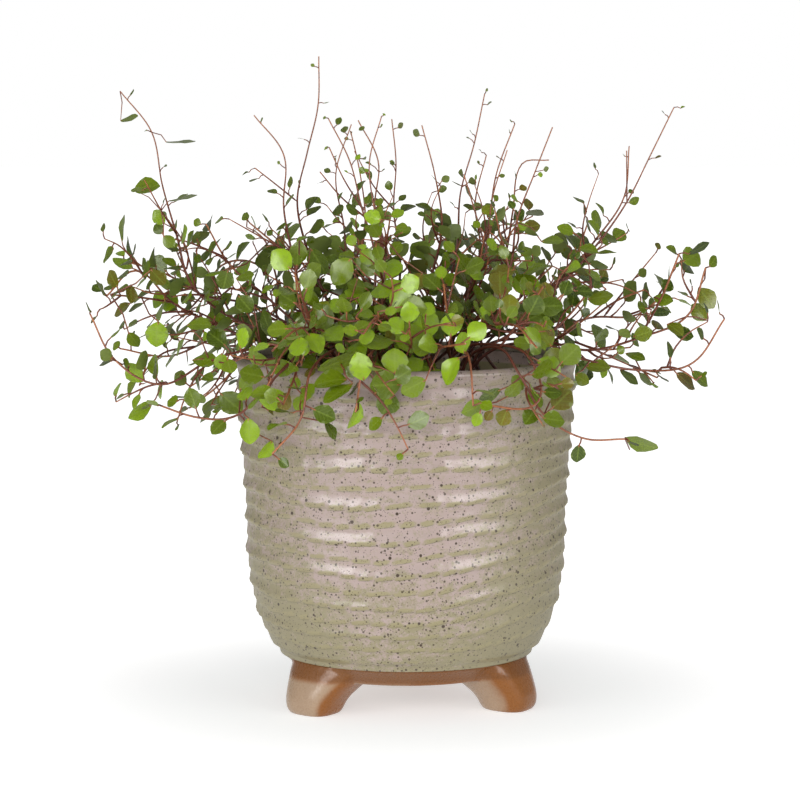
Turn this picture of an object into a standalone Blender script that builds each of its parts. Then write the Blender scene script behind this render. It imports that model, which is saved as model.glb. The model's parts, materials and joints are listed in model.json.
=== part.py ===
"""A wire vine growing in a ribbed, glazed pot on three feet.

The pot, the soil and each leafy stem are objects of their own. The pot's axis is the Z axis, the floor is
z = 0 and the front is -Y. Sizes are in millimetres up to the point where a mesh is made, in metres.
"""

import math
import random

import bmesh
import bpy
from mathutils import Matrix, Vector
from mathutils.geometry import interpolate_bezier

MM = 0.001
GAP = 0.3  # between neighbouring pieces

# The pot
RIM_RADIUS = 65.0
RIM_HEIGHT = 132.0
BASE_RADIUS = 41.0
BASE_HEIGHT = 12.5
BASE_BEVEL = 2.0
FLOOR_THICKNESS = 6.0
DRAIN_RADIUS = 5.0
TURN_STEPS = 28
# Outer outline under the rim, as radius and height, measured on the crests of the ribs
OUTLINE = ((64.4, 112.0), (63.0, 92.0), (61.9, 75.0), (61.5, 58.0), (60.0, 45.0), (57.0, 33.0), (52.8, 23.7))
RIB_COUNT = 18
RIB_LOWEST = 22.5
RIB_HIGHEST = 127.0
RIB_DEPTH = 1.3
RIB_WAVER = 1.3
# Inner outline, from the floor up
INSIDE = ((38.0, 18.5), (50.0, 29.0), (55.5, 45.0), (57.0, 70.0), (58.8, 112.0), (60.2, 129.0))

# The feet
FOOT_TURNS = (-54.0, 66.0, 186.0)  # degrees round from the front, towards +X
FOOT_REACH = 41.5
FOOT_TOP_REACH = 34.0
FOOT_SIDES = 12
FOOT_RIDGE = 0.14
# A foot's outline from its fillet under the pot down to its flat, as radius and height
FOOT_OUTLINE = ((15.5, 16.0), (14.2, 12.6), (12.8, 9.5), (11.6, 6.5), (10.7, 3.6), (9.2, 1.4), (6.8, 0.0))

# The soil
SOIL_TOP = 113.0
SOIL_STEPS = 18
SOIL_OUTLINE = ((40.0, 113.0), (57.9, 112.0), (54.0, 45.0), (47.0, 29.0), (36.0, 18.8))
HOLE_DEPTH = 13.0
HOLE_RADIUS = 2.4
HOLE_SIDES = 3

# Stems and leaves
ROOT_SPREAD = 43.0
STEM_RADIUS = 0.85
TIP_RADIUS = 0.55
TWIG_RADIUS = 0.6
INTERNODE = 19.0
ZIGZAG = 0.9
TWIG_LENGTH = 30.0
PETIOLE_RADIUS = 0.36
LEAF_STEP = 19.5
LEAF_LONGEST = 12.2
LEAF_SHORTEST = 5.2
LEAF_ROUND_FROM = 9.5  # a blade longer than this gets a rounder outline
LEAF_HALF_THICKNESS = 0.42
CLEAR_CELL = 5.0

# Routes of the shoots that show from the front, from the pot's mouth to the tip: x, y, z in millimetres
SHOOTS = {
    "tallest": ((-23, 12, 137), (-32, 14, 157), (-40, 12, 178), (-40, 10, 200), (-37, 8, 213), (-32, 8, 229),
                (-33, 8, 245)),
    "left_tall": ((-25, 5, 135), (-50, 8, 140), (-70, 8, 147), (-82, 5, 160), (-87, 3, 174), (-91, 0, 196),
                  (-97, -3, 218), (-107, -7, 232)),
    "right_tall": ((24, 2, 135), (41, 0, 144), (56, 0, 158), (72, -3, 173), (85, -7, 196), (93, -9, 209),
                   (100, -11, 226)),
    "left_far": ((-32, -15, 136), (-50, -22, 138), (-68, -30, 134), (-90, -32, 125), (-105, -30, 131),
                 (-115, -28, 139), (-117, -28, 150)),
    "right_reach": ((28, -12, 136), (52, -15, 139), (68, -18, 136), (82, -20, 138), (99, -24, 146),
                    (110, -26, 157), (111, -26, 167)),
    "right_loop": ((31, -28, 136), (50, -36, 139), (64, -40, 135), (80, -38, 131), (99, -38, 128),
                   (107, -38, 136), (117, -38, 149)),
    "left_low": ((-26, -36, 136), (-38, -52, 138), (-46, -62, 131), (-56, -57, 119), (-71, -46, 113),
                 (-82, -40, 114), (-94, -36, 118)),
    "left_middle": ((-41, 10, 135), (-60, 10, 138), (-76, 8, 144), (-88, 5, 152), (-98, 2, 159),
                    (-106, 0, 165), (-113, -4, 155)),
    "left_upper": ((-30, 25, 136), (-53, 28, 145), (-68, 28, 152), (-84, 25, 155), (-99, 18, 165),
                   (-108, 16, 167)),
    "left_rear": ((-34, 35, 135), (-57, 42, 138), (-79, 45, 133), (-97, 45, 127), (-112, 40, 131)),
    "left_inner": ((-41, 8, 143), (-55, 10, 153), (-65, 11, 161), (-75, 9, 170), (-76, 8, 180)),
    "left_pair": ((-34, 0, 142), (-40, 0, 158), (-45, -2, 177), (-46, -3, 204), (-50, -4, 216),
                  (-57, -6, 223)),
    "centre_left": ((-14, -8, 139), (-11, -10, 158), (-13, -10, 177), (-17, -10, 191), (-23, -12, 209),
                    (-29, -13, 222)),
    "centre_rear": ((-13, 20, 137), (-19, 22, 152), (-24, 24, 175), (-26, 24, 204), (-21, 24, 219)),
    "centre": ((-4, -2, 137), (-4, 0, 158), (-11, 2, 184), (-9, 2, 200), (-18, -2, 221)),
    "centre_front": ((-7, -25, 139), (-8, -27, 156), (-9, -28, 178), (-14, -28, 204), (-9, -28, 223)),
    "centre_right": ((5, 15, 137), (9, 15, 153), (13, 12, 178), (12, 10, 197), (6, 8, 219)),
    "right_rear_tall": ((13, 30, 136), (23, 32, 151), (29, 30, 179), (27, 28, 195), (31, 28, 207)),
    "right_inner": ((13, 0, 137), (24, -3, 154), (32, -5, 183), (35, -6, 204), (38, -6, 210)),
    "right_arch": ((18, 12, 137), (32, 10, 157), (41, 8, 184), (43, 6, 204), (48, 4, 212), (54, 2, 206)),
    "right_front_tall": ((21, -18, 140), (35, -22, 159), (41, -24, 182), (47, -25, 203), (54, -27, 219)),
    "right_second": ((24, 14, 137), (41, 16, 145), (59, 16, 160), (76, 16, 178), (84, 13, 196),
                     (85, 12, 211)),
    "right_level": ((27, 20, 136), (48, 28, 139), (73, 34, 143), (90, 38, 145), (104, 38, 156)),
    "right_rear": ((33, 30, 136), (53, 40, 138), (71, 48, 132), (89, 48, 123), (99, 46, 119)),
    "right_trail": ((24, -40, 136), (34, -54, 139), (41, -66, 132), (45, -66, 123), (51, -62, 114),
                    (60, -57, 109), (75, -52, 103), (80, -50, 106)),
    "right_cluster": ((20, -30, 137), (34, -48, 140), (47, -62, 135), (47, -69, 123), (37, -71, 119),
                      (27, -72, 121)),
    "front_hang": ((-21, -38, 136), (-28, -56, 139), (-34, -68, 131), (-38, -73, 121), (-40, -72, 108),
                   (-48, -70, 103)),
    "front_left": ((-23, -28, 135), (-34, -47, 139), (-42, -60, 135), (-49, -64, 124)),
    "front_first": ((-2, -35, 135), (0, -52, 139), (2, -66, 144), (1, -80, 149)),
    "front_second": ((-10, -40, 135), (-11, -58, 140), (-14, -72, 136), (-18, -78, 119)),
    "front_third": ((7, -40, 135), (9, -60, 141), (16, -74, 140), (21, -84, 144)),
    "front_right": ((14, -36, 136), (19, -58, 141), (25, -72, 134), (24, -76, 121)),
    "front_reach_left": ((-16, -24, 137), (-30, -50, 145), (-40, -72, 148), (-47, -90, 142)),
    "front_reach": ((0, -24, 138), (-6, -52, 149), (-12, -76, 153), (-15, -91, 148)),
    "front_reach_right": ((14, -22, 138), (28, -48, 147), (38, -70, 149), (46, -88, 143)),
}

# Shoots on the far side come by rule, three kinds in turn, each as reach from the axis and height
REAR_KINDS = (
    ((24, 140), (31, 172), (35, 200), (43, 222)),
    ((32, 138), (56, 150), (78, 161), (97, 158)),
    ((34, 137), (58, 141), (78, 132), (98, 117)),
)
REAR_COUNT = 12
REAR_FROM = 18.0  # degrees round from +X, by way of +Y
REAR_TO = 158.0
REAR_SWAY = 9.0


def clear_scene():
    for old in list(bpy.data.objects):
        bpy.data.objects.remove(old, do_unlink=True)


def collection(name):
    made = bpy.data.collections.new(name)
    bpy.context.scene.collection.children.link(made)
    return made


def material(name, colour, roughness):
    made = bpy.data.materials.new(name)
    made.use_nodes = True
    made.diffuse_color = (*colour, 1.0)
    shader = made.node_tree.nodes["Principled BSDF"]
    shader.inputs["Base Color"].default_value = (*colour, 1.0)
    shader.inputs["Roughness"].default_value = roughness
    return made


def placed(name, mesh, home, finish=None):
    made = bpy.data.objects.new(name, mesh)
    home.objects.link(made)
    if finish:
        mesh.materials.clear()
        mesh.materials.append(finish)
    return made


def as_mesh(name, source, home, finish=None):
    """The evaluated form of an object as a plain mesh object, in place of the object."""
    graph = bpy.context.evaluated_depsgraph_get()
    mesh = bpy.data.meshes.new_from_object(source.evaluated_get(graph))
    mesh.transform(source.matrix_world)
    bpy.data.objects.remove(source, do_unlink=True)
    return placed(name, mesh, home, finish)


def welded(mesh, distance=1e-6):
    shape = bmesh.new()
    shape.from_mesh(mesh)
    bmesh.ops.remove_doubles(shape, verts=shape.verts, dist=distance)
    shape.to_mesh(mesh)
    shape.free()


def turned(name, outline, home, closed, steps):
    """A solid turned round the Z axis from an outline that runs down its outer side."""
    mesh = bpy.data.meshes.new(name)
    points = [(radius * MM, 0.0, height * MM) for radius, height in outline]
    edges = [(i, i + 1) for i in range(len(points) - 1)]
    if closed:
        edges.append((len(points) - 1, 0))
    mesh.from_pydata(points, edges, [])
    source = placed(name + "_outline", mesh, home)
    screw = source.modifiers.new("Turn", "SCREW")
    screw.steps = steps
    screw.render_steps = steps
    screw.use_merge_vertices = True
    screw.merge_threshold = 0.00001
    return as_mesh(name, source, home)


def joined(base, parts, home, finish):
    """One Boolean union of a base with every object of a collection, applied."""
    union = base.modifiers.new("Union", "BOOLEAN")
    union.operation = "UNION"
    union.solver = "MANIFOLD"
    union.operand_type = "COLLECTION"
    union.collection = parts
    name = base.name
    base.name = name + "_base"
    made = as_mesh(name, base, home, finish)
    for part in list(parts.objects):
        bpy.data.objects.remove(part, do_unlink=True)
    bpy.data.collections.remove(parts)
    return made


def outer_radius(height):
    """The pot's smooth outer radius on the crests of its ribs, straight between the outline's points."""
    line = ((RIM_RADIUS, RIM_HEIGHT), *OUTLINE, (BASE_RADIUS, BASE_HEIGHT))
    for (above, top), (below, bottom) in zip(line, line[1:]):
        if height >= bottom:
            return below + (above - below) * (height - bottom) / (top - bottom)
    return BASE_RADIUS


def waver(turn, height):
    """How far a rib wanders up or down round the pot."""
    return RIB_WAVER * (
        0.55 * math.sin(turn + 0.05 * height)
        + 0.30 * math.sin(2 * turn + 1.3 - 0.11 * height)
        + 0.15 * math.sin(5 * turn + 0.4 * height)
    )


def pot_outline():
    """The wall's closed outline: lip, ribs, base, drain hole, floor and inside."""
    points = [(RIM_RADIUS - 2.6, RIM_HEIGHT), (RIM_RADIUS - 0.9, RIM_HEIGHT), (RIM_RADIUS, RIM_HEIGHT - 1.4)]
    pitch = (RIB_HIGHEST - RIB_LOWEST) / (RIB_COUNT - 1)
    for i in range(RIB_COUNT):
        crest = RIB_HIGHEST - i * pitch
        points.append((outer_radius(crest + pitch / 2) - RIB_DEPTH, crest + pitch / 2))
        points.append((outer_radius(crest), crest))
    points.append((outer_radius(RIB_LOWEST - 3.0) - 0.8, RIB_LOWEST - 3.0))
    points.append((outer_radius(BASE_HEIGHT + BASE_BEVEL), BASE_HEIGHT + BASE_BEVEL))
    points.append((BASE_RADIUS, BASE_HEIGHT))
    points.append((DRAIN_RADIUS, BASE_HEIGHT))
    points.append((DRAIN_RADIUS, BASE_HEIGHT + FLOOR_THICKNESS))
    points.extend(INSIDE)
    return points


def make_pot(home, guides, finish):
    body = turned("pot", pot_outline(), home, closed=True, steps=TURN_STEPS)
    welded(body.data)
    for vertex in body.data.vertices:
        place = vertex.co / MM
        reach = math.hypot(place.x, place.y)
        if place.z > RIM_HEIGHT - 3 or place.z < RIB_LOWEST - 4 or reach < outer_radius(place.z) - 2:
            continue
        turn = math.atan2(place.y, place.x)
        vertex.co.z += waver(turn, place.z) * MM
    feet = bpy.data.collections.new("pot_feet")
    bpy.context.scene.collection.children.link(feet)
    for turn in FOOT_TURNS:
        make_foot(turn, feet, guides)
    return joined(body, feet, home, finish)


def make_foot(turn, feet, guides):
    """A stubby foot: turned, with a soft ridge on its outer side, and leaning outwards as it goes down."""
    foot = turned("foot", FOOT_OUTLINE, guides, closed=False, steps=FOOT_SIDES)
    welded(foot.data)
    shape = bmesh.new()
    shape.from_mesh(foot.data)
    bmesh.ops.holes_fill(shape, edges=[edge for edge in shape.edges if edge.is_boundary])
    bmesh.ops.recalc_face_normals(shape, faces=shape.faces)
    top = FOOT_OUTLINE[0][1] * MM
    for vertex in shape.verts:
        round_it = math.atan2(vertex.co.y, vertex.co.x)
        swell = 1 + FOOT_RIDGE * max(0.0, math.cos(round_it)) ** 6 * (1 if vertex.co.z > 1e-6 else 0)
        lean = (FOOT_TOP_REACH + (FOOT_REACH - FOOT_TOP_REACH) * (1 - vertex.co.z / top)) * MM
        vertex.co.x = vertex.co.x * swell + lean
    shape.to_mesh(foot.data)
    shape.free()
    foot.data.transform(Matrix.Rotation(math.radians(turn - 90), 4, "Z"))
    guides.objects.unlink(foot)
    feet.objects.link(foot)


def soil_height(x, y):
    swell = 0.8 * math.sin(0.13 * x + 1.0) * math.cos(0.11 * y)
    return SOIL_TOP + swell - 0.9 * (math.hypot(x, y) / 58) ** 4


def make_soil(home, holes_home, finish, vines):
    soil = turned("soil", SOIL_OUTLINE, home, closed=False, steps=SOIL_STEPS)
    welded(soil.data)
    shape = bmesh.new()
    shape.from_mesh(soil.data)
    bmesh.ops.holes_fill(shape, edges=[edge for edge in shape.edges if edge.is_boundary])
    for vertex in shape.verts:
        if vertex.co.z > (SOIL_TOP - 0.5) * MM:
            vertex.co.z = soil_height(vertex.co.x / MM, vertex.co.y / MM) * MM
    bmesh.ops.triangulate(shape, faces=[face for face in shape.faces if len(face.verts) > 4])
    bmesh.ops.recalc_face_normals(shape, faces=shape.faces)
    shape.to_mesh(soil.data)
    shape.free()
    for vine in vines:
        foot = vine["stems"][0]["line"][0]
        cutter = bpy.data.meshes.new("hole")
        shape = bmesh.new()
        bmesh.ops.create_cone(
            shape, cap_ends=True, segments=HOLE_SIDES, radius1=HOLE_RADIUS * MM,
            radius2=HOLE_RADIUS * MM, depth=2 * (HOLE_DEPTH + GAP) * MM,
        )
        shape.to_mesh(cutter)
        shape.free()
        cutter.transform(Matrix.Translation((foot.x * MM, foot.y * MM, (SOIL_TOP + 1) * MM)))
        hole = placed("hole_" + vine["name"], cutter, holes_home)
        hole.hide_render = True
        hole.display_type = "WIRE"
    cut = soil.modifiers.new("Holes", "BOOLEAN")
    cut.operation = "DIFFERENCE"
    cut.solver = "EXACT"
    cut.operand_type = "COLLECTION"
    cut.collection = holes_home
    soil.data.materials.append(finish)
    return soil


class Room:
    """The space that is taken: small balls, filed by the cell that they lie in."""

    def __init__(self):
        self.cells = {}

    def near(self, place):
        i, j, k = (math.floor(value / CLEAR_CELL) for value in place)
        for a in (i - 1, i, i + 1):
            for b in (j - 1, j, j + 1):
                for c in (k - 1, k, k + 1):
                    yield from self.cells.get((a, b, c), ())

    def take(self, balls, owner):
        for place, size in balls:
            cell = tuple(math.floor(value / CLEAR_CELL) for value in place)
            self.cells.setdefault(cell, []).append((place, size, owner))

    def free(self, balls, owner, root=None, slack=1.0, margin=0.45):
        """True where no ball meets the pot, the soil or another's ball, its own stem near its root apart."""
        for place, size in balls:
            if pot_distance(place) < size * slack + margin:
                return False
            for other, reach, who in self.near(place):
                if who == owner and (root is None or (other - root).length < 3.4):
                    continue
                if (place - other).length < (size + reach) * slack + margin:
                    return False
        return True


def pot_distance(place):
    """How far a point above the soil is from the pot's wall or the soil."""
    reach = math.hypot(place.x, place.y)
    inner = INSIDE[-2][0]
    aside = max(inner - reach, reach - RIM_RADIUS, 0.0)
    wall = math.hypot(aside, max(place.z - RIM_HEIGHT, 0.0))
    if reach < inner:
        return min(wall, place.z - SOIL_TOP - 1.0)
    return wall


def respaced(line, spacing):
    """The same line with its points about a spacing apart."""
    lengths = [(b - a).length for a, b in zip(line, line[1:])]
    count = max(1, round(sum(lengths) / spacing))
    step = sum(lengths) / count
    points = [line[0].copy()]
    along = 0.0
    for (a, b), length in zip(zip(line, line[1:]), lengths):
        while len(points) < count and along + length >= step * len(points):
            points.append(a.lerp(b, (step * len(points) - along) / length))
        along += length
    points.append(line[-1].copy())
    return points


def smooth(points, spacing):
    """A smooth line through the points."""
    ways = [(points[1] - points[0]).normalized()]
    ways += [(c - a).normalized() for a, c in zip(points, points[2:])]
    ways.append((points[-1] - points[-2]).normalized())
    line = [points[0]]
    for a, b, way_a, way_b in zip(points, points[1:], ways, ways[1:]):
        third = (b - a).length / 3
        line += interpolate_bezier(a, a + way_a * third, b - way_b * third, b, 9)[1:]
    return respaced([Vector(p) for p in line], spacing)


def balls_along(line, size, skip=0.0):
    found = []
    for place in respaced(line, 1.7):
        if (place - line[0]).length >= skip:
            found.append((place, size))
    return found


def across(way, turn):
    """A unit vector square to a direction, turned round it."""
    side = way.cross(Vector((0.31, -0.52, 0.8))).normalized()
    return Matrix.Rotation(turn, 3, way) @ side


def any_way(draw):
    return Vector((draw.uniform(-1, 1), draw.uniform(-1, 1), draw.uniform(-1, 1)))


def shoot_routes():
    """Every shoot's name and its route from the pot's mouth to its tip."""
    routes = {name: [Vector(point) for point in points] for name, points in SHOOTS.items()}
    draw = random.Random(4)
    for i in range(REAR_COUNT):
        turn = math.radians(REAR_FROM + (REAR_TO - REAR_FROM) * i / (REAR_COUNT - 1))
        out = Vector((math.cos(turn), math.sin(turn), 0))
        aside = Vector((-out.y, out.x, 0))
        reach = draw.uniform(0.9, 1.0)
        sway = draw.uniform(-REAR_SWAY, REAR_SWAY)
        points = []
        kind = REAR_KINDS[i % len(REAR_KINDS)]
        for k, (far, high) in enumerate(kind):
            lift = Vector((0, 0, high + draw.uniform(-4, 4) * k))
            points.append(out * far * reach + aside * sway * k / 2 + lift)
        routes[f"rear_{i + 1:02d}"] = points
    return routes


def root_places(routes):
    """A place in the soil for each shoot, on a spiral, the nearest free one to where it leans from."""
    count = len(routes)
    golden = math.pi * (3 - math.sqrt(5))
    free = []
    for i in range(count):
        reach = ROOT_SPREAD * math.sqrt((i + 0.5) / count)
        free.append(Vector((reach * math.cos(i * golden), reach * math.sin(i * golden), 0)))
    places = {}
    for name, route in routes.items():
        wish = Vector((route[0].x, route[0].y, 0)) * 0.8
        best = min(free, key=lambda spot: (spot - wish).length)
        free.remove(best)
        places[name] = best
    return places


def grow_stem(room, name, root, route, draw):
    """A stem's line from its hole in the soil to its tip, bent until it is clear of the others."""
    bottom = Vector((root.x, root.y, SOIL_TOP + 1 - HOLE_DEPTH))
    mouth = Vector((root.x, root.y, SOIL_TOP + 5))
    lean = route[0] - mouth
    middle = mouth + lean * 0.5 + Vector((0, 0, 2))
    for attempt in range(80):
        bend = any_way(draw) * (0.35 * attempt)
        points = [bottom, mouth, middle + bend * 0.6]
        for i, point in enumerate(route):
            share = math.sin(math.pi * (i + 1) / (len(route) + 1))
            points.append(point + bend * share)
        line = smooth(points, INTERNODE)
        line = [bottom, mouth] + [keep_out(p) for p in line[2:]] if len(line) > 2 else line
        line = zigzagged(line, draw)
        if room.free(balls_along(line[1:], STEM_RADIUS), name):
            return line
    return None


def keep_out(place):
    """A point near the pot's lip is moved just over it or just outside it."""
    reach = math.hypot(place.x, place.y)
    out = Vector((place.x, place.y, 0)).normalized()
    if 52 < reach < 69 and place.z > RIM_HEIGHT - 6:
        return Vector((place.x, place.y, max(place.z, RIM_HEIGHT + 4.5)))
    if reach >= 52 and place.z <= RIM_HEIGHT - 6:
        return out * max(reach, 70.5) + Vector((0, 0, place.z))
    return place


def zigzagged(line, draw):
    """The line with its points past the mouth set a little aside by turns."""
    moved = line[:3]
    for i in range(3, len(line) - 1):
        way = (line[i + 1] - line[i - 1]).normalized()
        moved.append(line[i] + across(way, (i % 2) * math.pi + draw.uniform(-0.7, 0.7)) * ZIGZAG)
    return moved + line[-1:] if len(line) > 3 else line


def leaf_balls(leaf):
    """Balls over a blade and its stalk."""
    side = leaf["up"].cross(leaf["ahead"])
    long, wide = leaf["length"], leaf["width"]
    spots = ((0.12, 0), (0.42, 0), (0.72, 0), (0.98, 0), (0.3, 0.3), (0.3, -0.3), (0.58, 0.34),
             (0.58, -0.34), (0.8, 0.28), (0.8, -0.28), (0.45, 0.46), (0.45, -0.46))
    found = [(leaf["base"] + leaf["ahead"] * a * long + side * b * wide, 0.15 * long) for a, b in spots]
    return found + balls_along([leaf["root"], leaf["base"]], 0.5, skip=1.6)


def grow_leaf(room, name, root, way, turn, length, draw):
    """A leaf on a stem: its stalk leaves to one side, and its blade turns its face up and outwards."""
    for attempt in range(14):
        side = across(way, turn + attempt * 0.9 + draw.uniform(-0.3, 0.3))
        stalk = (side + way * 0.45 + Vector((0, 0, 0.25))).normalized()
        size = length * (1 - 0.02 * attempt)
        base = root + stalk * (1.8 + 0.22 * size)
        ahead = (stalk + any_way(draw) * 0.35).normalized()
        light = Vector((base.x, base.y, 0)).normalized() * 0.75 + Vector((0, -0.15, 0.6))
        light += any_way(draw) * 0.45
        up = light - ahead * light.dot(ahead)
        if up.length < 0.25:
            continue
        leaf = {"root": root, "base": base, "ahead": ahead, "up": up.normalized(), "length": size,
                "width": size * draw.uniform(0.78, 0.98)}
        balls = leaf_balls(leaf)
        if room.free(balls, name, root=root):
            room.take(balls, name)
            return leaf
    return None


def grow_vines():
    """Every vine: its stems and its leaves, each clear of the pot and of the other vines."""
    routes = shoot_routes()
    roots = root_places(routes)
    room = Room()
    vines = []
    for i, (name, route) in enumerate(routes.items()):
        line = grow_stem(room, name, roots[name], route, random.Random(100 + i))
        if line is None:
            print("no room for", name)
            continue
        room.take(balls_along(line[1:], STEM_RADIUS), name)
        stem = {"line": line, "thick": STEM_RADIUS, "thin": TIP_RADIUS}
        vines.append({"name": name, "stems": [stem], "leaves": []})
    for i, vine in enumerate(vines):
        grow_twig(room, vine, random.Random(300 + i))
    for i, vine in enumerate(vines):
        dress(room, vine, random.Random(500 + i))
    return vines


def grow_twig(room, vine, draw):
    """One side twig, from a joint of the stem above the pot's mouth."""
    line = vine["stems"][0]["line"]
    joints = [k for k in range(3, len(line) - 2) if line[k].z > RIM_HEIGHT]
    if not joints:
        return
    for attempt in range(10):
        k = draw.choice(joints)
        way = (line[k + 1] - line[k - 1]).normalized()
        out = Vector((line[k].x, line[k].y, 0)).normalized()
        lead = (across(way, draw.uniform(0, 6.3)) + way * 0.7 + out * 0.4 + Vector((0, 0, 0.3))).normalized()
        length = TWIG_LENGTH * draw.uniform(0.7, 1.1)
        end = line[k] + lead * length + Vector((0, 0, draw.uniform(-4, 7)))
        points = [line[k], line[k] + lead * length * 0.45, end]
        twig = smooth(points, length / 2)
        if room.free(balls_along(twig, TWIG_RADIUS, skip=2.5), vine["name"], root=line[k]):
            room.take(balls_along(twig, TWIG_RADIUS, skip=2.5), vine["name"])
            vine["stems"].append({"line": twig, "thick": TWIG_RADIUS, "thin": TIP_RADIUS})
            return


def dress(room, vine, draw):
    """Leaves up the stem and the twig, a step apart, and one at each tip."""
    turn = draw.uniform(0, 6.3)
    for order, stem in enumerate(vine["stems"]):
        line = stem["line"]
        lengths = [(b - a).length for a, b in zip(line, line[1:])]
        total = sum(lengths)
        start = lengths[0] + lengths[1] if order == 0 else 0.45 * total
        back = 1.0
        while back < total - start:
            root, way = at_length(line, total - back)
            share = (total - back - start) / (total - start)
            back += LEAF_STEP * draw.uniform(0.85, 1.15)
            turn += math.pi + draw.uniform(-0.5, 0.5)
            if pot_distance(root) < 2.5:
                continue
            length = LEAF_LONGEST + (LEAF_SHORTEST - LEAF_LONGEST) * share ** 2.0
            if order:
                length = LEAF_LONGEST * draw.uniform(0.5, 0.8)
            leaf = grow_leaf(room, vine["name"], root, way, turn, length * draw.uniform(0.85, 1.05), draw)
            if leaf:
                vine["leaves"].append(leaf)


def at_length(line, along):
    """The point that far along a line, and the line's way there."""
    for a, b in zip(line, line[1:]):
        step = (b - a).length
        if along <= step:
            break
        along -= step
    return a.lerp(b, min(along / step, 1.0)), (b - a).normalized()


def stem_object(name, stem, home):
    """A four-sided tube along a stem's line, thinner towards its tip."""
    curve = bpy.data.curves.new(name, "CURVE")
    curve.dimensions = "3D"
    curve.bevel_depth = MM
    curve.bevel_resolution = 0
    curve.use_fill_caps = True
    spline = curve.splines.new("POLY")
    line = stem["line"]
    spline.points.add(len(line) - 1)
    for i, (point, place) in enumerate(zip(spline.points, line)):
        point.co = (*(place * MM), 1.0)
        point.radius = stem["thick"] + (stem["thin"] - stem["thick"]) * i / (len(line) - 1)
    made = as_mesh(name, placed(name + "_curve", curve, home), home)
    welded(made.data)
    return made


def leaf_mesh(name, leaf):
    """A three-sided stalk that lofts into a blade, thick in the middle and thin at its rim."""
    long, wide = leaf["length"], leaf["width"]
    rim = [(0.26, 0.42), (0.72, 0.42)]
    if long > LEAF_ROUND_FROM:
        rim = [(0.14, 0.27), (0.45, 0.5), (0.8, 0.36)]
    lift = 0.06 * long
    around = [(long * a, wide * b, lift * (2 * b) ** 2) for a, b in rim]
    around.append((long, 0.0, lift * 0.4))
    around += [(long * a, -wide * b, lift * (2 * b) ** 2) for a, b in reversed(rim)]
    ring = [(0.0, 0.87, 0.5), (0.0, -0.87, 0.5), (0.0, 0.0, -1.0)]
    side = leaf["up"].cross(leaf["ahead"])
    blade = Matrix((leaf["ahead"], side, leaf["up"])).transposed()
    stalk = (leaf["base"] - leaf["root"]).normalized()
    twist = (leaf["up"] - stalk * leaf["up"].dot(stalk)).normalized()
    turned_ring = Matrix((stalk, twist.cross(stalk), twist)).transposed()
    points = [leaf["root"] + turned_ring @ (Vector(p) * PETIOLE_RADIUS) for p in ring]
    points += [leaf["base"] + blade @ (Vector(p) * PETIOLE_RADIUS) for p in ring]
    points.append(leaf["base"] + blade @ Vector((0.42 * long, 0, LEAF_HALF_THICKNESS)))
    points.append(leaf["base"] + blade @ Vector((0.42 * long, 0, -LEAF_HALF_THICKNESS)))
    points += [leaf["base"] + blade @ Vector(p) for p in around]
    top, under = 6, 7
    outline = list(range(8, 8 + len(around)))
    upper = [3, *outline, 4]
    faces = [(0, 1, 2)]
    faces += [(0, 3, 4, 1), (1, 4, 5, 2), (2, 5, 3, 0)]
    faces += [(top, b, a) for a, b in zip(upper, upper[1:])] + [(top, 3, 4)]
    lower = [5, 3, *outline, 4, 5]
    faces += [(under, a, b) for a, b in zip(lower, lower[1:])]
    mesh = bpy.data.meshes.new(name)
    mesh.from_pydata([p * MM for p in points], [], faces)
    shape = bmesh.new()
    shape.from_mesh(mesh)
    bmesh.ops.recalc_face_normals(shape, faces=shape.faces)
    shape.to_mesh(mesh)
    shape.free()
    return mesh


def make_vine(vine, home, guides, finish):
    name = "vine_" + vine["name"]
    base = stem_object(name, vine["stems"][0], home)
    parts = collection(name + "_parts")
    for i, stem in enumerate(vine["stems"][1:]):
        stem_object(f"{name}_twig_{i}", stem, parts)
    for i, leaf in enumerate(vine["leaves"]):
        placed(f"{name}_leaf_{i}", leaf_mesh(f"{name}_leaf_{i}", leaf), parts)
    return joined(base, parts, home, finish)


def main():
    clear_scene()
    plant = collection("potted_wire_vine")
    cutters = collection("cutters")
    glaze = material("speckled_glaze", (0.42, 0.36, 0.31), 0.3)
    earth = material("potting_soil", (0.05, 0.035, 0.025), 0.95)
    green = material("wire_vine", (0.14, 0.24, 0.03), 0.4)
    vines = grow_vines()
    make_pot(plant, cutters, glaze)
    make_soil(plant, cutters, earth, vines)
    for vine in vines:
        make_vine(vine, plant, cutters, green)


main()
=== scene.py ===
"""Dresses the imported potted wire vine: leafy stems, glazed pot, soil and a white studio.

The growth repeats the part's own rules in millimetres, so that each finer vine follows its solid.
"""

import json
import math
import random

import bmesh
import bpy
from bpy.props import BoolProperty, FloatProperty, FloatVectorProperty, IntProperty, PointerProperty
from mathutils import Matrix, Vector
from mathutils.geometry import interpolate_bezier

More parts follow.
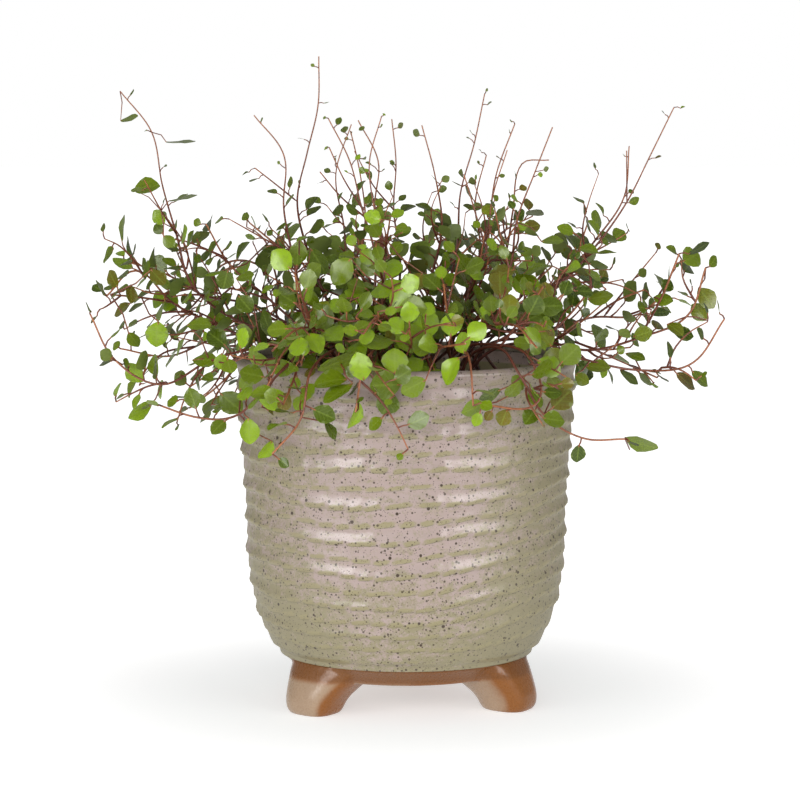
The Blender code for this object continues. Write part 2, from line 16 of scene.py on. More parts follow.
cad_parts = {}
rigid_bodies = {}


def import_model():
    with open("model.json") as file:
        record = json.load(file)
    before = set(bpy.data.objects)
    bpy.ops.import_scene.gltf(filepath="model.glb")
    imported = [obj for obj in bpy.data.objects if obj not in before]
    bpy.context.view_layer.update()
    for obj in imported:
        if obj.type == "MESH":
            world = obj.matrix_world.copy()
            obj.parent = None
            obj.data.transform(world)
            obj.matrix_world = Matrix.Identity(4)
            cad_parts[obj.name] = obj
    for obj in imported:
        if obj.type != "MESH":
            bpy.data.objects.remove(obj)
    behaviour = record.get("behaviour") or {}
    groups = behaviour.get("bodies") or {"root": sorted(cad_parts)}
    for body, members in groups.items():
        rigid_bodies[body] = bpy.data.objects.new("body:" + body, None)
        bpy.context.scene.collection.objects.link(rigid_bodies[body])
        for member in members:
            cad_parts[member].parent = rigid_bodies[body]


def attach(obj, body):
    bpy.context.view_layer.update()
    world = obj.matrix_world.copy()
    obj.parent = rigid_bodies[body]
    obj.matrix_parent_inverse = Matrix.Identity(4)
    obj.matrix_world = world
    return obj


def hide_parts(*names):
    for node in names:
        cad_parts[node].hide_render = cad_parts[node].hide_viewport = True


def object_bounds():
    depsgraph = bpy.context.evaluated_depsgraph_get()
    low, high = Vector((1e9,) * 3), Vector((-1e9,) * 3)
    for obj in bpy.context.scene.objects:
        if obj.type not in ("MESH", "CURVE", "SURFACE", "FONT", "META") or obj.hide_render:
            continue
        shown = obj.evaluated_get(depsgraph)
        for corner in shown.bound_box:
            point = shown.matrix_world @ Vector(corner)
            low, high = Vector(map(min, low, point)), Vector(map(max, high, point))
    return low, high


bl_info = {
    "name": "Potted Wire Vine",
    "version": (1, 0, 0),
    "blender": (4, 5, 0),
    "location": "View3D > Sidebar > Wire Vine",
    "description": "Dresses a packed wire vine with fine leafy stems, a speckled glazed pot, soil and a studio",
    "category": "Object",
}

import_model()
CAD_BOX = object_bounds()
BODY = "root"

MM = 0.001

# The pot
RIM_RADIUS = 65.0
RIM_HEIGHT = 132.0
BASE_RADIUS = 41.0
BASE_HEIGHT = 12.5
BASE_BEVEL = 2.0
FLOOR_THICKNESS = 6.0
DRAIN_RADIUS = 5.0
TURN_STEPS = 28
# Outer outline under the rim, as radius and height, measured on the crests of the ribs
OUTLINE = ((64.4, 112.0), (63.0, 92.0), (61.9, 75.0), (61.5, 58.0), (60.0, 45.0), (57.0, 33.0), (52.8, 23.7))
RIB_COUNT = 18
RIB_LOWEST = 22.5
RIB_HIGHEST = 127.0
RIB_DEPTH = 1.3
RIB_WAVER = 1.3
# Inner outline, from the floor up
INSIDE = ((38.0, 18.5), (50.0, 29.0), (55.5, 45.0), (57.0, 70.0), (58.8, 112.0), (60.2, 129.0))

# The feet
FOOT_TURNS = (-54.0, 66.0, 186.0)  # degrees round from the front, towards +X
FOOT_REACH = 41.5
FOOT_TOP_REACH = 34.0
FOOT_SIDES = 12
FOOT_RIDGE = 0.14
# A foot's outline from its fillet under the pot down to its flat, as radius and height
FOOT_OUTLINE = ((15.5, 16.0), (14.2, 12.6), (12.8, 9.5), (11.6, 6.5), (10.7, 3.6), (9.2, 1.4), (6.8, 0.0))

# The soil
SOIL_TOP = 113.0
SOIL_STEPS = 18
SOIL_OUTLINE = ((40.0, 113.0), (57.9, 112.0), (54.0, 45.0), (47.0, 29.0), (36.0, 18.8))
HOLE_DEPTH = 13.0
HOLE_RADIUS = 2.4
HOLE_SIDES = 3

# Stems and leaves
ROOT_SPREAD = 43.0
STEM_RADIUS = 0.85
TIP_RADIUS = 0.55
TWIG_RADIUS = 0.6
INTERNODE = 19.0
ZIGZAG = 0.9
TWIG_LENGTH = 30.0
PETIOLE_RADIUS = 0.36
LEAF_STEP = 19.5
LEAF_LONGEST = 12.2
LEAF_SHORTEST = 5.2
LEAF_ROUND_FROM = 9.5  # a blade longer than this gets a rounder outline
LEAF_HALF_THICKNESS = 0.42
CLEAR_CELL = 5.0

# Routes of the shoots that show from the front, from the pot's mouth to the tip: x, y, z in millimetres
SHOOTS = {
    "tallest": ((-23, 12, 137), (-32, 14, 157), (-40, 12, 178), (-40, 10, 200), (-37, 8, 213), (-32, 8, 229),
                (-33, 8, 245)),
    "left_tall": ((-25, 5, 135), (-50, 8, 140), (-70, 8, 147), (-82, 5, 160), (-87, 3, 174), (-91, 0, 196),
                  (-97, -3, 218), (-107, -7, 232)),
    "right_tall": ((24, 2, 135), (41, 0, 144), (56, 0, 158), (72, -3, 173), (85, -7, 196), (93, -9, 209),
                   (100, -11, 226)),
    "left_far": ((-32, -15, 136), (-50, -22, 138), (-68, -30, 134), (-90, -32, 125), (-105, -30, 131),
                 (-115, -28, 139), (-117, -28, 150)),
    "right_reach": ((28, -12, 136), (52, -15, 139), (68, -18, 136), (82, -20, 138), (99, -24, 146),
                    (110, -26, 157), (111, -26, 167)),
    "right_loop": ((31, -28, 136), (50, -36, 139), (64, -40, 135), (80, -38, 131), (99, -38, 128),
                   (107, -38, 136), (117, -38, 149)),
    "left_low": ((-26, -36, 136), (-38, -52, 138), (-46, -62, 131), (-56, -57, 119), (-71, -46, 113),
                 (-82, -40, 114), (-94, -36, 118)),
    "left_middle": ((-41, 10, 135), (-60, 10, 138), (-76, 8, 144), (-88, 5, 152), (-98, 2, 159),
                    (-106, 0, 165), (-113, -4, 155)),
    "left_upper": ((-30, 25, 136), (-53, 28, 145), (-68, 28, 152), (-84, 25, 155), (-99, 18, 165),
                   (-108, 16, 167)),
    "left_rear": ((-34, 35, 135), (-57, 42, 138), (-79, 45, 133), (-97, 45, 127), (-112, 40, 131)),
    "left_inner": ((-41, 8, 143), (-55, 10, 153), (-65, 11, 161), (-75, 9, 170), (-76, 8, 180)),
    "left_pair": ((-34, 0, 142), (-40, 0, 158), (-45, -2, 177), (-46, -3, 204), (-50, -4, 216),
                  (-57, -6, 223)),
    "centre_left": ((-14, -8, 139), (-11, -10, 158), (-13, -10, 177), (-17, -10, 191), (-23, -12, 209),
                    (-29, -13, 222)),
    "centre_rear": ((-13, 20, 137), (-19, 22, 152), (-24, 24, 175), (-26, 24, 204), (-21, 24, 219)),
    "centre": ((-4, -2, 137), (-4, 0, 158), (-11, 2, 184), (-9, 2, 200), (-18, -2, 221)),
    "centre_front": ((-7, -25, 139), (-8, -27, 156), (-9, -28, 178), (-14, -28, 204), (-9, -28, 223)),
    "centre_right": ((5, 15, 137), (9, 15, 153), (13, 12, 178), (12, 10, 197), (6, 8, 219)),
    "right_rear_tall": ((13, 30, 136), (23, 32, 151), (29, 30, 179), (27, 28, 195), (31, 28, 207)),
    "right_inner": ((13, 0, 137), (24, -3, 154), (32, -5, 183), (35, -6, 204), (38, -6, 210)),
    "right_arch": ((18, 12, 137), (32, 10, 157), (41, 8, 184), (43, 6, 204), (48, 4, 212), (54, 2, 206)),
    "right_front_tall": ((21, -18, 140), (35, -22, 159), (41, -24, 182), (47, -25, 203), (54, -27, 219)),
    "right_second": ((24, 14, 137), (41, 16, 145), (59, 16, 160), (76, 16, 178), (84, 13, 196),
                     (85, 12, 211)),
    "right_level": ((27, 20, 136), (48, 28, 139), (73, 34, 143), (90, 38, 145), (104, 38, 156)),
    "right_rear": ((33, 30, 136), (53, 40, 138), (71, 48, 132), (89, 48, 123), (99, 46, 119)),
    "right_trail": ((24, -40, 136), (34, -54, 139), (41, -66, 132), (45, -66, 123), (51, -62, 114),
                    (60, -57, 109), (75, -52, 103), (80, -50, 106)),
    "right_cluster": ((20, -30, 137), (34, -48, 140), (47, -62, 135), (47, -69, 123), (37, -71, 119),
                      (27, -72, 121)),
    "front_hang": ((-21, -38, 136), (-28, -56, 139), (-34, -68, 131), (-38, -73, 121), (-40, -72, 108),
                   (-48, -70, 103)),
    "front_left": ((-23, -28, 135), (-34, -47, 139), (-42, -60, 135), (-49, -64, 124)),
    "front_first": ((-2, -35, 135), (0, -52, 139), (2, -66, 144), (1, -80, 149)),
    "front_second": ((-10, -40, 135), (-11, -58, 140), (-14, -72, 136), (-18, -78, 119)),
    "front_third": ((7, -40, 135), (9, -60, 141), (16, -74, 140), (21, -84, 144)),
    "front_right": ((14, -36, 136), (19, -58, 141), (25, -72, 134), (24, -76, 121)),
    "front_reach_left": ((-16, -24, 137), (-30, -50, 145), (-40, -72, 148), (-47, -90, 142)),
    "front_reach": ((0, -24, 138), (-6, -52, 149), (-12, -76, 153), (-15, -91, 148)),
    "front_reach_right": ((14, -22, 138), (28, -48, 147), (38, -70, 149), (46, -88, 143)),
}

# Shoots on the far side come by rule, three kinds in turn, each as reach from the axis and height
REAR_KINDS = (
    ((24, 140), (31, 172), (35, 200), (43, 222)),
    ((32, 138), (56, 150), (78, 161), (97, 158)),
    ((34, 137), (58, 141), (78, 132), (98, 117)),
)
REAR_COUNT = 12
REAR_FROM = 18.0  # degrees round from +X, by way of +Y
REAR_TO = 158.0
REAR_SWAY = 9.0


def outer_radius(height):
    """The pot's smooth outer radius on the crests of its ribs, straight between the outline's points."""
    line = ((RIM_RADIUS, RIM_HEIGHT), *OUTLINE, (BASE_RADIUS, BASE_HEIGHT))
    for (above, top), (below, bottom) in zip(line, line[1:]):
        if height >= bottom:
            return below + (above - below) * (height - bottom) / (top - bottom)
    return BASE_RADIUS


def soil_height(x, y):
    swell = 0.8 * math.sin(0.13 * x + 1.0) * math.cos(0.11 * y)
    return SOIL_TOP + swell - 0.9 * (math.hypot(x, y) / 58) ** 4


class Room:
    """The space that is taken: small balls, filed by the cell that they lie in."""

    def __init__(self):
        self.cells = {}

    def near(self, place):
        i, j, k = (math.floor(value / CLEAR_CELL) for value in place)
        for a in (i - 1, i, i + 1):
            for b in (j - 1, j, j + 1):
                for c in (k - 1, k, k + 1):
                    yield from self.cells.get((a, b, c), ())

    def take(self, balls, owner):
        for place, size in balls:
            cell = tuple(math.floor(value / CLEAR_CELL) for value in place)
            self.cells.setdefault(cell, []).append((place, size, owner))

    def free(self, balls, owner, root=None, slack=1.0, margin=0.45):
        """True where no ball meets the pot, the soil or another's ball, its own stem near its root apart."""
        for place, size in balls:
            if pot_distance(place) < size * slack + margin:
                return False
            for other, reach, who in self.near(place):
                if who == owner and (root is None or (other - root).length < 3.4):
                    continue
                if (place - other).length < (size + reach) * slack + margin:
                    return False
        return True


def pot_distance(place):
    """How far a point above the soil is from the pot's wall or the soil."""
    reach = math.hypot(place.x, place.y)
    inner = INSIDE[-2][0]
    aside = max(inner - reach, reach - RIM_RADIUS, 0.0)
    wall = math.hypot(aside, max(place.z - RIM_HEIGHT, 0.0))
    if reach < inner:
        return min(wall, place.z - SOIL_TOP - 1.0)
    return wall


def respaced(line, spacing):
    """The same line with its points about a spacing apart."""
    lengths = [(b - a).length for a, b in zip(line, line[1:])]
    count = max(1, round(sum(lengths) / spacing))
    step = sum(lengths) / count
    points = [line[0].copy()]
    along = 0.0
    for (a, b), length in zip(zip(line, line[1:]), lengths):
        while len(points) < count and along + length >= step * len(points):
            points.append(a.lerp(b, (step * len(points) - along) / length))
        along += length
    points.append(line[-1].copy())
    return points


def smooth(points, spacing):
    """A smooth line through the points."""
    ways = [(points[1] - points[0]).normalized()]
    ways += [(c - a).normalized() for a, c in zip(points, points[2:])]
    ways.append((points[-1] - points[-2]).normalized())
    line = [points[0]]
    for a, b, way_a, way_b in zip(points, points[1:], ways, ways[1:]):
        third = (b - a).length / 3
        line += interpolate_bezier(a, a + way_a * third, b - way_b * third, b, 9)[1:]
    return respaced([Vector(p) for p in line], spacing)


def balls_along(line, size, skip=0.0):
    found = []
    for place in respaced(line, 1.7):
        if (place - line[0]).length >= skip:
            found.append((place, size))
    return found


def across(way, turn):
    """A unit vector square to a direction, turned round it."""
    side = way.cross(Vector((0.31, -0.52, 0.8))).normalized()
    return Matrix.Rotation(turn, 3, way) @ side


def any_way(draw):
    return Vector((draw.uniform(-1, 1), draw.uniform(-1, 1), draw.uniform(-1, 1)))


def shoot_routes():
    """Every shoot's name and its route from the pot's mouth to its tip."""
    routes = {name: [Vector(point) for point in points] for name, points in SHOOTS.items()}
    draw = random.Random(4)
    for i in range(REAR_COUNT):
        turn = math.radians(REAR_FROM + (REAR_TO - REAR_FROM) * i / (REAR_COUNT - 1))
        out = Vector((math.cos(turn), math.sin(turn), 0))
        aside = Vector((-out.y, out.x, 0))
        reach = draw.uniform(0.9, 1.0)
        sway = draw.uniform(-REAR_SWAY, REAR_SWAY)
        points = []
        kind = REAR_KINDS[i % len(REAR_KINDS)]
        for k, (far, high) in enumerate(kind):
            lift = Vector((0, 0, high + draw.uniform(-4, 4) * k))
            points.append(out * far * reach + aside * sway * k / 2 + lift)
        routes[f"rear_{i + 1:02d}"] = points
    return routes


def root_places(routes):
    """A place in the soil for each shoot, on a spiral, the nearest free one to where it leans from."""
    count = len(routes)
    golden = math.pi * (3 - math.sqrt(5))
    free = []
    for i in range(count):
        reach = ROOT_SPREAD * math.sqrt((i + 0.5) / count)
        free.append(Vector((reach * math.cos(i * golden), reach * math.sin(i * golden), 0)))
    places = {}
    for name, route in routes.items():
        wish = Vector((route[0].x, route[0].y, 0)) * 0.8
        best = min(free, key=lambda spot: (spot - wish).length)
        free.remove(best)
        places[name] = best
    return places


def grow_stem(room, name, root, route, draw):
    """A stem's line from its hole in the soil to its tip, bent until it is clear of the others."""
    bottom = Vector((root.x, root.y, SOIL_TOP + 1 - HOLE_DEPTH))
    mouth = Vector((root.x, root.y, SOIL_TOP + 5))
    lean = route[0] - mouth
    middle = mouth + lean * 0.5 + Vector((0, 0, 2))
    for attempt in range(80):
        bend = any_way(draw) * (0.35 * attempt)
        points = [bottom, mouth, middle + bend * 0.6]
        for i, point in enumerate(route):
            share = math.sin(math.pi * (i + 1) / (len(route) + 1))
            points.append(point + bend * share)
        line = smooth(points, INTERNODE)
        line = [bottom, mouth] + [keep_out(p) for p in line[2:]] if len(line) > 2 else line
        line = zigzagged(line, draw)
        if room.free(balls_along(line[1:], STEM_RADIUS), name):
            return line
    return None


def keep_out(place):
    """A point near the pot's lip is moved just over it or just outside it."""
    reach = math.hypot(place.x, place.y)
    out = Vector((place.x, place.y, 0)).normalized()
    if 52 < reach < 69 and place.z > RIM_HEIGHT - 6:
        return Vector((place.x, place.y, max(place.z, RIM_HEIGHT + 4.5)))
    if reach >= 52 and place.z <= RIM_HEIGHT - 6:
        return out * max(reach, 70.5) + Vector((0, 0, place.z))
    return place


def zigzagged(line, draw):
    """The line with its points past the mouth set a little aside by turns."""
    moved = line[:3]
    for i in range(3, len(line) - 1):
        way = (line[i + 1] - line[i - 1]).normalized()
        moved.append(line[i] + across(way, (i % 2) * math.pi + draw.uniform(-0.7, 0.7)) * ZIGZAG)
    return moved + line[-1:] if len(line) > 3 else line


def leaf_balls(leaf):
    """Balls over a blade and its stalk."""
    side = leaf["up"].cross(leaf["ahead"])
    long, wide = leaf["length"], leaf["width"]
    spots = ((0.12, 0), (0.42, 0), (0.72, 0), (0.98, 0), (0.3, 0.3), (0.3, -0.3), (0.58, 0.34),
             (0.58, -0.34), (0.8, 0.28), (0.8, -0.28), (0.45, 0.46), (0.45, -0.46))
    found = [(leaf["base"] + leaf["ahead"] * a * long + side * b * wide, 0.15 * long) for a, b in spots]
    return found + balls_along([leaf["root"], leaf["base"]], 0.5, skip=1.6)


def grow_leaf(room, name, root, way, turn, length, draw):
    """A leaf on a stem: its stalk leaves to one side, and its blade turns its face up and outwards."""
    for attempt in range(14):
        side = across(way, turn + attempt * 0.9 + draw.uniform(-0.3, 0.3))
        stalk = (side + way * 0.45 + Vector((0, 0, 0.25))).normalized()
        size = length * (1 - 0.02 * attempt)
        base = root + stalk * (1.8 + 0.22 * size)
        ahead = (stalk + any_way(draw) * 0.35).normalized()
        light = Vector((base.x, base.y, 0)).normalized() * 0.75 + Vector((0, -0.15, 0.6))
        light += any_way(draw) * 0.45
        up = light - ahead * light.dot(ahead)
        if up.length < 0.25:
            continue
        leaf = {"root": root, "base": base, "ahead": ahead, "up": up.normalized(), "length": size,
                "width": size * draw.uniform(0.78, 0.98)}
        balls = leaf_balls(leaf)
        if room.free(balls, name, root=root):
            room.take(balls, name)
            return leaf
    return None


def grow_vines():
    """Every vine: its stems and its leaves, each clear of the pot and of the other vines."""
    routes = shoot_routes()
    roots = root_places(routes)
    room = Room()
    vines = []
    for i, (name, route) in enumerate(routes.items()):
        line = grow_stem(room, name, roots[name], route, random.Random(100 + i))
        if line is None:
            print("no room for", name)
            continue
        room.take(balls_along(line[1:], STEM_RADIUS), name)
        stem = {"line": line, "thick": STEM_RADIUS, "thin": TIP_RADIUS}
        vines.append({"name": name, "stems": [stem], "leaves": []})
    for i, vine in enumerate(vines):
        grow_twig(room, vine, random.Random(300 + i))
    for i, vine in enumerate(vines):
        dress(room, vine, random.Random(500 + i))
    return vines, room


def grow_twig(room, vine, draw):
    """One side twig, from a joint of the stem above the pot's mouth."""
    line = vine["stems"][0]["line"]
    joints = [k for k in range(3, len(line) - 2) if line[k].z > RIM_HEIGHT]
    if not joints:
        return
    for attempt in range(10):
        k = draw.choice(joints)
        way = (line[k + 1] - line[k - 1]).normalized()
        out = Vector((line[k].x, line[k].y, 0)).normalized()
        lead = (across(way, draw.uniform(0, 6.3)) + way * 0.7 + out * 0.4 + Vector((0, 0, 0.3))).normalized()
        length = TWIG_LENGTH * draw.uniform(0.7, 1.1)
        end = line[k] + lead * length + Vector((0, 0, draw.uniform(-4, 7)))
        points = [line[k], line[k] + lead * length * 0.45, end]
        twig = smooth(points, length / 2)
        if room.free(balls_along(twig, TWIG_RADIUS, skip=2.5), vine["name"], root=line[k]):
            room.take(balls_along(twig, TWIG_RADIUS, skip=2.5), vine["name"])
            vine["stems"].append({"line": twig, "thick": TWIG_RADIUS, "thin": TIP_RADIUS})
            return


def dress(room, vine, draw):
    """Leaves up the stem and the twig, a step apart, and one at each tip."""
    turn = draw.uniform(0, 6.3)
    for order, stem in enumerate(vine["stems"]):
        line = stem["line"]
        lengths = [(b - a).length for a, b in zip(line, line[1:])]
        total = sum(lengths)
        start = lengths[0] + lengths[1] if order == 0 else 0.45 * total
        back = 1.0
        while back < total - start:
            root, way = at_length(line, total - back)
            share = (total - back - start) / (total - start)
            back += LEAF_STEP * draw.uniform(0.85, 1.15)
            turn += math.pi + draw.uniform(-0.5, 0.5)
            if pot_distance(root) < 2.5:
                continue
            length = LEAF_LONGEST + (LEAF_SHORTEST - LEAF_LONGEST) * share ** 2.0
            if order:
                length = LEAF_LONGEST * draw.uniform(0.5, 0.8)
            leaf = grow_leaf(room, vine["name"], root, way, turn, length * draw.uniform(0.85, 1.05), draw)
            if leaf:
                vine["leaves"].append(leaf)


def at_length(line, along):
    """The point that far along a line, and the line's way there."""
    for a, b in zip(line, line[1:]):
        step = (b - a).length
        if along <= step:
            break
        along -= step
    return a.lerp(b, min(along / step, 1.0)), (b - a).normalized()


# Finer growth than the solids carry

FINE_STEP = 2.2  # between the points of a finished stem
FINE_TWIG_RADIUS = 0.5
FINE_TWIG_TIP = 0.3
TWIG_EVERY = 26.0
LEAF_EVERY = 7.4
STEM_SLIM = 0.8  # a finished stem's thickness beside its solid's
STALK_RADIUS = 0.26
LEAF_ROWS = (0.0, 0.1, 0.28, 0.5, 0.72, 0.9, 1.0)
LEAF_COLUMNS = (-1.0, -0.5, 0.0, 0.5, 1.0)
LEAF_SKIN = 0.012  # half the thickness of a blade that is 1 long
# The blades' forms: how far each cups, folds along its midrib, droops and twists
LEAF_FORMS = (
    (0.10, 0.00, 0.10, 0.00),
    (0.16, 0.00, -0.06, 0.15),
    (-0.08, 0.10, 0.16, -0.20),
    (0.05, 0.20, 0.22, 0.10),
    (0.00, 0.06, -0.12, -0.10),
    (-0.16, 0.04, 0.05, 0.30),
)
# Leaves that catch the eye: where each starts and ends (x, z, x, z), how wide it looks and its y, all in
# millimetres, then its tone, which carries painted light and shade, and bronze in tenths
HERO_LEAVES = (
    (3, 138, 0, 149, 11, -56, 6, 0), (-4, 143, -17, 144, 6, -62, 6, 0),
    (-12, 147, -26, 145, 3, -52, 4, 0), (-1, 163, -11, 159, 6, -44, 8, 0),
    (-20, 172, -27, 163, 9, -50, 6, 0), (-35, 175, -29, 166, 7, -40, 2, 0),
    (-39, 178, -40, 169, 6, -42, 4, 0), (6, 166, 1, 159, 7, -40, 4, 7),
    (-4, 132, -4, 141, 10, -71, 7, 0), (-15, 130, -17, 140, 8, -75, 9, 0),
    (-16, 139, -32, 134, 6, -68, 6, 0), (-21, 130, -33, 130, 6, -73, 5, 0),
    (-19, 129, -29, 122, 5, -76, 6, 0), (-17, 122, -19, 112, 5, -73, 10, 0),
    (-2, 128, -13, 128, 11, -71, 3, 0), (-5, 125, -8, 117, 9, -68, 2, 0),
    (7, 130, -2, 126, 7, -74, 6, 0), (19, 138, 13, 129, 6, -73, 10, 0), (21, 139, 19, 147, 7, -66, 9, 0),
    (28, 121, 20, 118, 5, -70, 6, 0), (34, 126, 26, 123, 3, -68, 2, 0),
    (-43, 122, -53, 121, 7, -56, 10, 0), (-37, 123, -40, 118, 5, -62, 7, 0),
    (-49, 105, -53, 98, 5, -48, 9, 0), (-29, 114, -25, 108, 3, -65, 2, 0),
    (53, 140, 47, 148, 8, -50, 6, 3), (59, 137, 49, 134, 9, -52, 5, 4), (46, 141, 39, 142, 5, -54, 5, 0),
    (53, 160, 45, 155, 7, -42, 2, 0), (40, 167, 30, 164, 7, -35, 2, 6), (48, 163, 40, 165, 4, -35, 5, 0),
    (54, 168, 43, 166, 4, -30, 4, 0), (67, 156, 76, 158, 6, -35, 6, 2), (66, 132, 75, 131, 5, -42, 5, 2),
    (79, 130, 85, 124, 4, -35, 2, 0), (84, 142, 91, 144, 6, -32, 5, 2),
    (109, 159, 115, 152, 7, -20, 5, 4), (112, 147, 107, 153, 7, -20, 4, 3),
    (92, 156, 99, 155, 5, -25, 5, 0), (97, 146, 103, 143, 5, -25, 4, 3), (82, 103, 94, 98, 4, -20, 6, 0),
    (50, 177, 58, 178, 4, -30, 5, 0), (64, 174, 71, 174, 4, -25, 4, 0), (66, 167, 72, 163, 3, -30, 6, 0),
    (81, 136, 88, 135, 4, -35, 3, 0), (-104, 131, -99, 124, 7, -20, 8, 0),
    (-95, 116, -104, 111, 5, -20, 8, 0), (-92, 147, -93, 138, 9, -25, 8, 0),
    (-81, 146, -72, 147, 5, -30, 6, 0), (-79, 133, -70, 134, 4, -30, 5, 0),
    (-68, 136, -68, 130, 6, -35, 8, 0), (-58, 136, -51, 134, 5, -45, 6, 0),
    (-51, 134, -40, 133, 5, -55, 6, 0), (-66, 166, -68, 159, 7, -25, 2, 0),
    (-63, 163, -56, 164, 4, -25, 4, 0), (-62, 157, -57, 151, 7, -30, 2, 0),
    (-95, 166, -90, 160, 6, -20, 3, 6), (-103, 160, -103, 153, 5, -15, 3, 7),
    (-91, 178, -87, 174, 5, -10, 4, 0), (-104, 142, -100, 137, 5, -15, 5, 0),
    (-102, 195, -93, 198, 6, -8, 4, 0), (-89, 191, -78, 192, 3, -8, 5, 0),
    (-107, 221, -100, 222, 3, -6, 5, 0), (-90, 213, -79, 212, 2, -6, 4, 0),
    (-38, 121, -34, 128, 5, -64, 7, 0), (-61, 123, -57, 128, 5, -40, 6, 0),
    (36, 123, 41, 128, 5, -66, 5, 1), (45, 125, 49, 119, 4, -58, 6, 0), (56, 124, 52, 129, 5, -50, 4, 2),
    (62, 129, 67, 126, 4, -44, 4, 2),
)
# Which finished piece holds a vine, by the start of its name
FOLIAGE = (("front", ("front_", "right_trail", "right_cluster")), ("left", ("left_",)),
           ("right", ("right_",)), ("rear", ("rear_",)), ("centre", ("",)))


def within_box(place):
    """True where a point in millimetres lies well within the solids' box."""
    low, high = CAD_BOX
    return all(a / MM - 1.0 < value < b / MM + 1.0 for a, value, b in zip(low, place, high))


def in_view_of_wall(place):
    """True in the gap among the leaves through which the pot's far inner wall is seen from the front."""
    back = place.y + 64
    return 12 < place.x < 44 and 131 - 0.098 * back < place.z < 144.5 - 0.088 * back


def add_twigs(room, vine, draw):
    """Fine twigs from along each stem."""
    for stem in list(vine["stems"]):
        line = stem["line"]
        total = sum((b - a).length for a, b in zip(line, line[1:]))
        for _ in range(round(total / TWIG_EVERY)):
            grow_fine_twig(room, vine, line, total, draw)


def hides(leaf):
    return any(in_view_of_wall(leaf["base"] + leaf["ahead"] * leaf["length"] * share) for share in (0.1, 0.5, 0.9))


def grow_fine_twig(room, vine, line, total, draw):
    for attempt in range(8):
        root, way = at_length(line, total * draw.uniform(0.15, 0.95))
        if pot_distance(root) < 3.0 or root.z > 176 or root.z < 122:
            continue
        out = Vector((root.x, root.y, 0)).normalized()
        lead = (across(way, draw.uniform(0, 6.3)) + way * 0.8 + out * 0.35 + Vector((0, 0, 0.2))).normalized()
        length = draw.uniform(9, 32)
        bend = any_way(draw) * 0.22 * length
        points = [root, root + lead * length * 0.5 + bend * 0.5, root + lead * length - bend * 0.3]
        twig = smooth(points, length / 3)
        if not all(within_box(place) and not in_view_of_wall(place) for place in twig):
            continue
        balls = balls_along(twig, FINE_TWIG_RADIUS, skip=2.2)
        if room.free(balls, vine["name"], root=root, margin=0.1):
            room.take(balls, vine["name"])
            vine["stems"].append({"line": twig, "thick": FINE_TWIG_RADIUS, "thin": FINE_TWIG_TIP})
            return


def add_leaves(room, vine, draw):
    """Leaves between those of the solids, and along the fine twigs."""
    turn = draw.uniform(0, 6.3)
    for order, stem in enumerate(vine["stems"]):
        line = stem["line"]
        total = sum((b - a).length for a, b in zip(line, line[1:]))
        back = LEAF_EVERY * 0.7 if order < 2 else 0.2
        kept = 0.0
        while back < total - 2.0:
            along = total - back
            root, way = at_length(line, along)
            back += LEAF_EVERY * draw.uniform(0.75, 1.2) / height_share(root) ** 0.7
            if root.x > 45 and draw.random() < 0.4:
                continue
            turn += math.pi + draw.uniform(-0.6, 0.6)
            if pot_distance(root) < 2.0:
                continue
            length = draw.choice((5.0, 6.5, 7.5, 8.5, 10.0)) * draw.uniform(0.85, 1.12)
            length *= height_share(root)
            if back < LEAF_EVERY * 1.5:
                length *= draw.uniform(0.45, 0.75)
            leaf = grow_leaf(room, vine["name"], root, way, turn, length, draw)
            if leaf and not hides(leaf) and within_box(leaf["base"] + leaf["ahead"] * leaf["length"]):
                vine["leaves"].append(leaf)
                kept = kept or along
        if stem["thick"] == FINE_TWIG_RADIUS:
            stem["line"] = cut_back(line, kept) if kept else []
    vine["stems"] = [stem for stem in vine["stems"] if stem["line"]]


def cut_back(line, reach):
    """The part of a line that lies within a length from its start."""
    end = at_length(line, reach)[0]
    short = [line[0]]
    gone = 0.0
    for a, b in zip(line, line[1:]):
        gone += (b - a).length
        if gone > reach - 0.5:
            break
        short.append(b)
    return short + [end]


def height_share(place):
    """How large and how many leaves are at a height: few small ones on the thin tips."""
    return 1 - 0.66 * max(0.0, min(1.0, (place.z - 168) / 36))


def add_heroes(room, vines):
    """The leaves that catch the eye, each on a stalk or a fine twig from the stem nearest to it."""
    draw = random.Random(5)
    spots = [(place, vine) for vine in vines for stem in vine["stems"] for place in stem["line"]
             if pot_distance(place) > 1.5]
    for x, z, tip_x, tip_z, seen, y, tone_and_light, bronze in HERO_LEAVES:
        base = Vector((x, y, z))
        run = Vector((tip_x - x, -draw.uniform(0.0, 3.5), tip_z - z))
        length = run.length
        ahead = run.normalized()
        roll = math.acos(min(1.0, (seen + 0.5) / (0.88 * length))) * draw.choice((1, -1))
        face = Vector((draw.uniform(-0.25, 0.25), -1, draw.uniform(0.0, 0.3)))
        up = Matrix.Rotation(roll, 3, ahead) @ (face - ahead * face.dot(ahead)).normalized()
        root, vine = min(spots, key=lambda spot: (spot[0] - base).length + 0.5 * max(0, (spot[0] - base).dot(ahead)))
        leaf = {"root": root, "base": base, "ahead": ahead, "up": up, "length": length,
                "width": max(0.86 * length, seen), "tone_and_light": tone_and_light / 10, "bronze": bronze / 10}
        balls = leaf_balls(leaf)[:12]
        for other in vines:
            other["leaves"] = [old for old in other["leaves"] if "tone_and_light" in old or not meet(leaf_balls(old)[:12], balls)]
        vine["leaves"].append(leaf)
        room.take(balls, vine["name"])


def meet(some, others):
    return any((place - other).length < 0.8 * (size + reach) for place, size in some for other, reach in others)


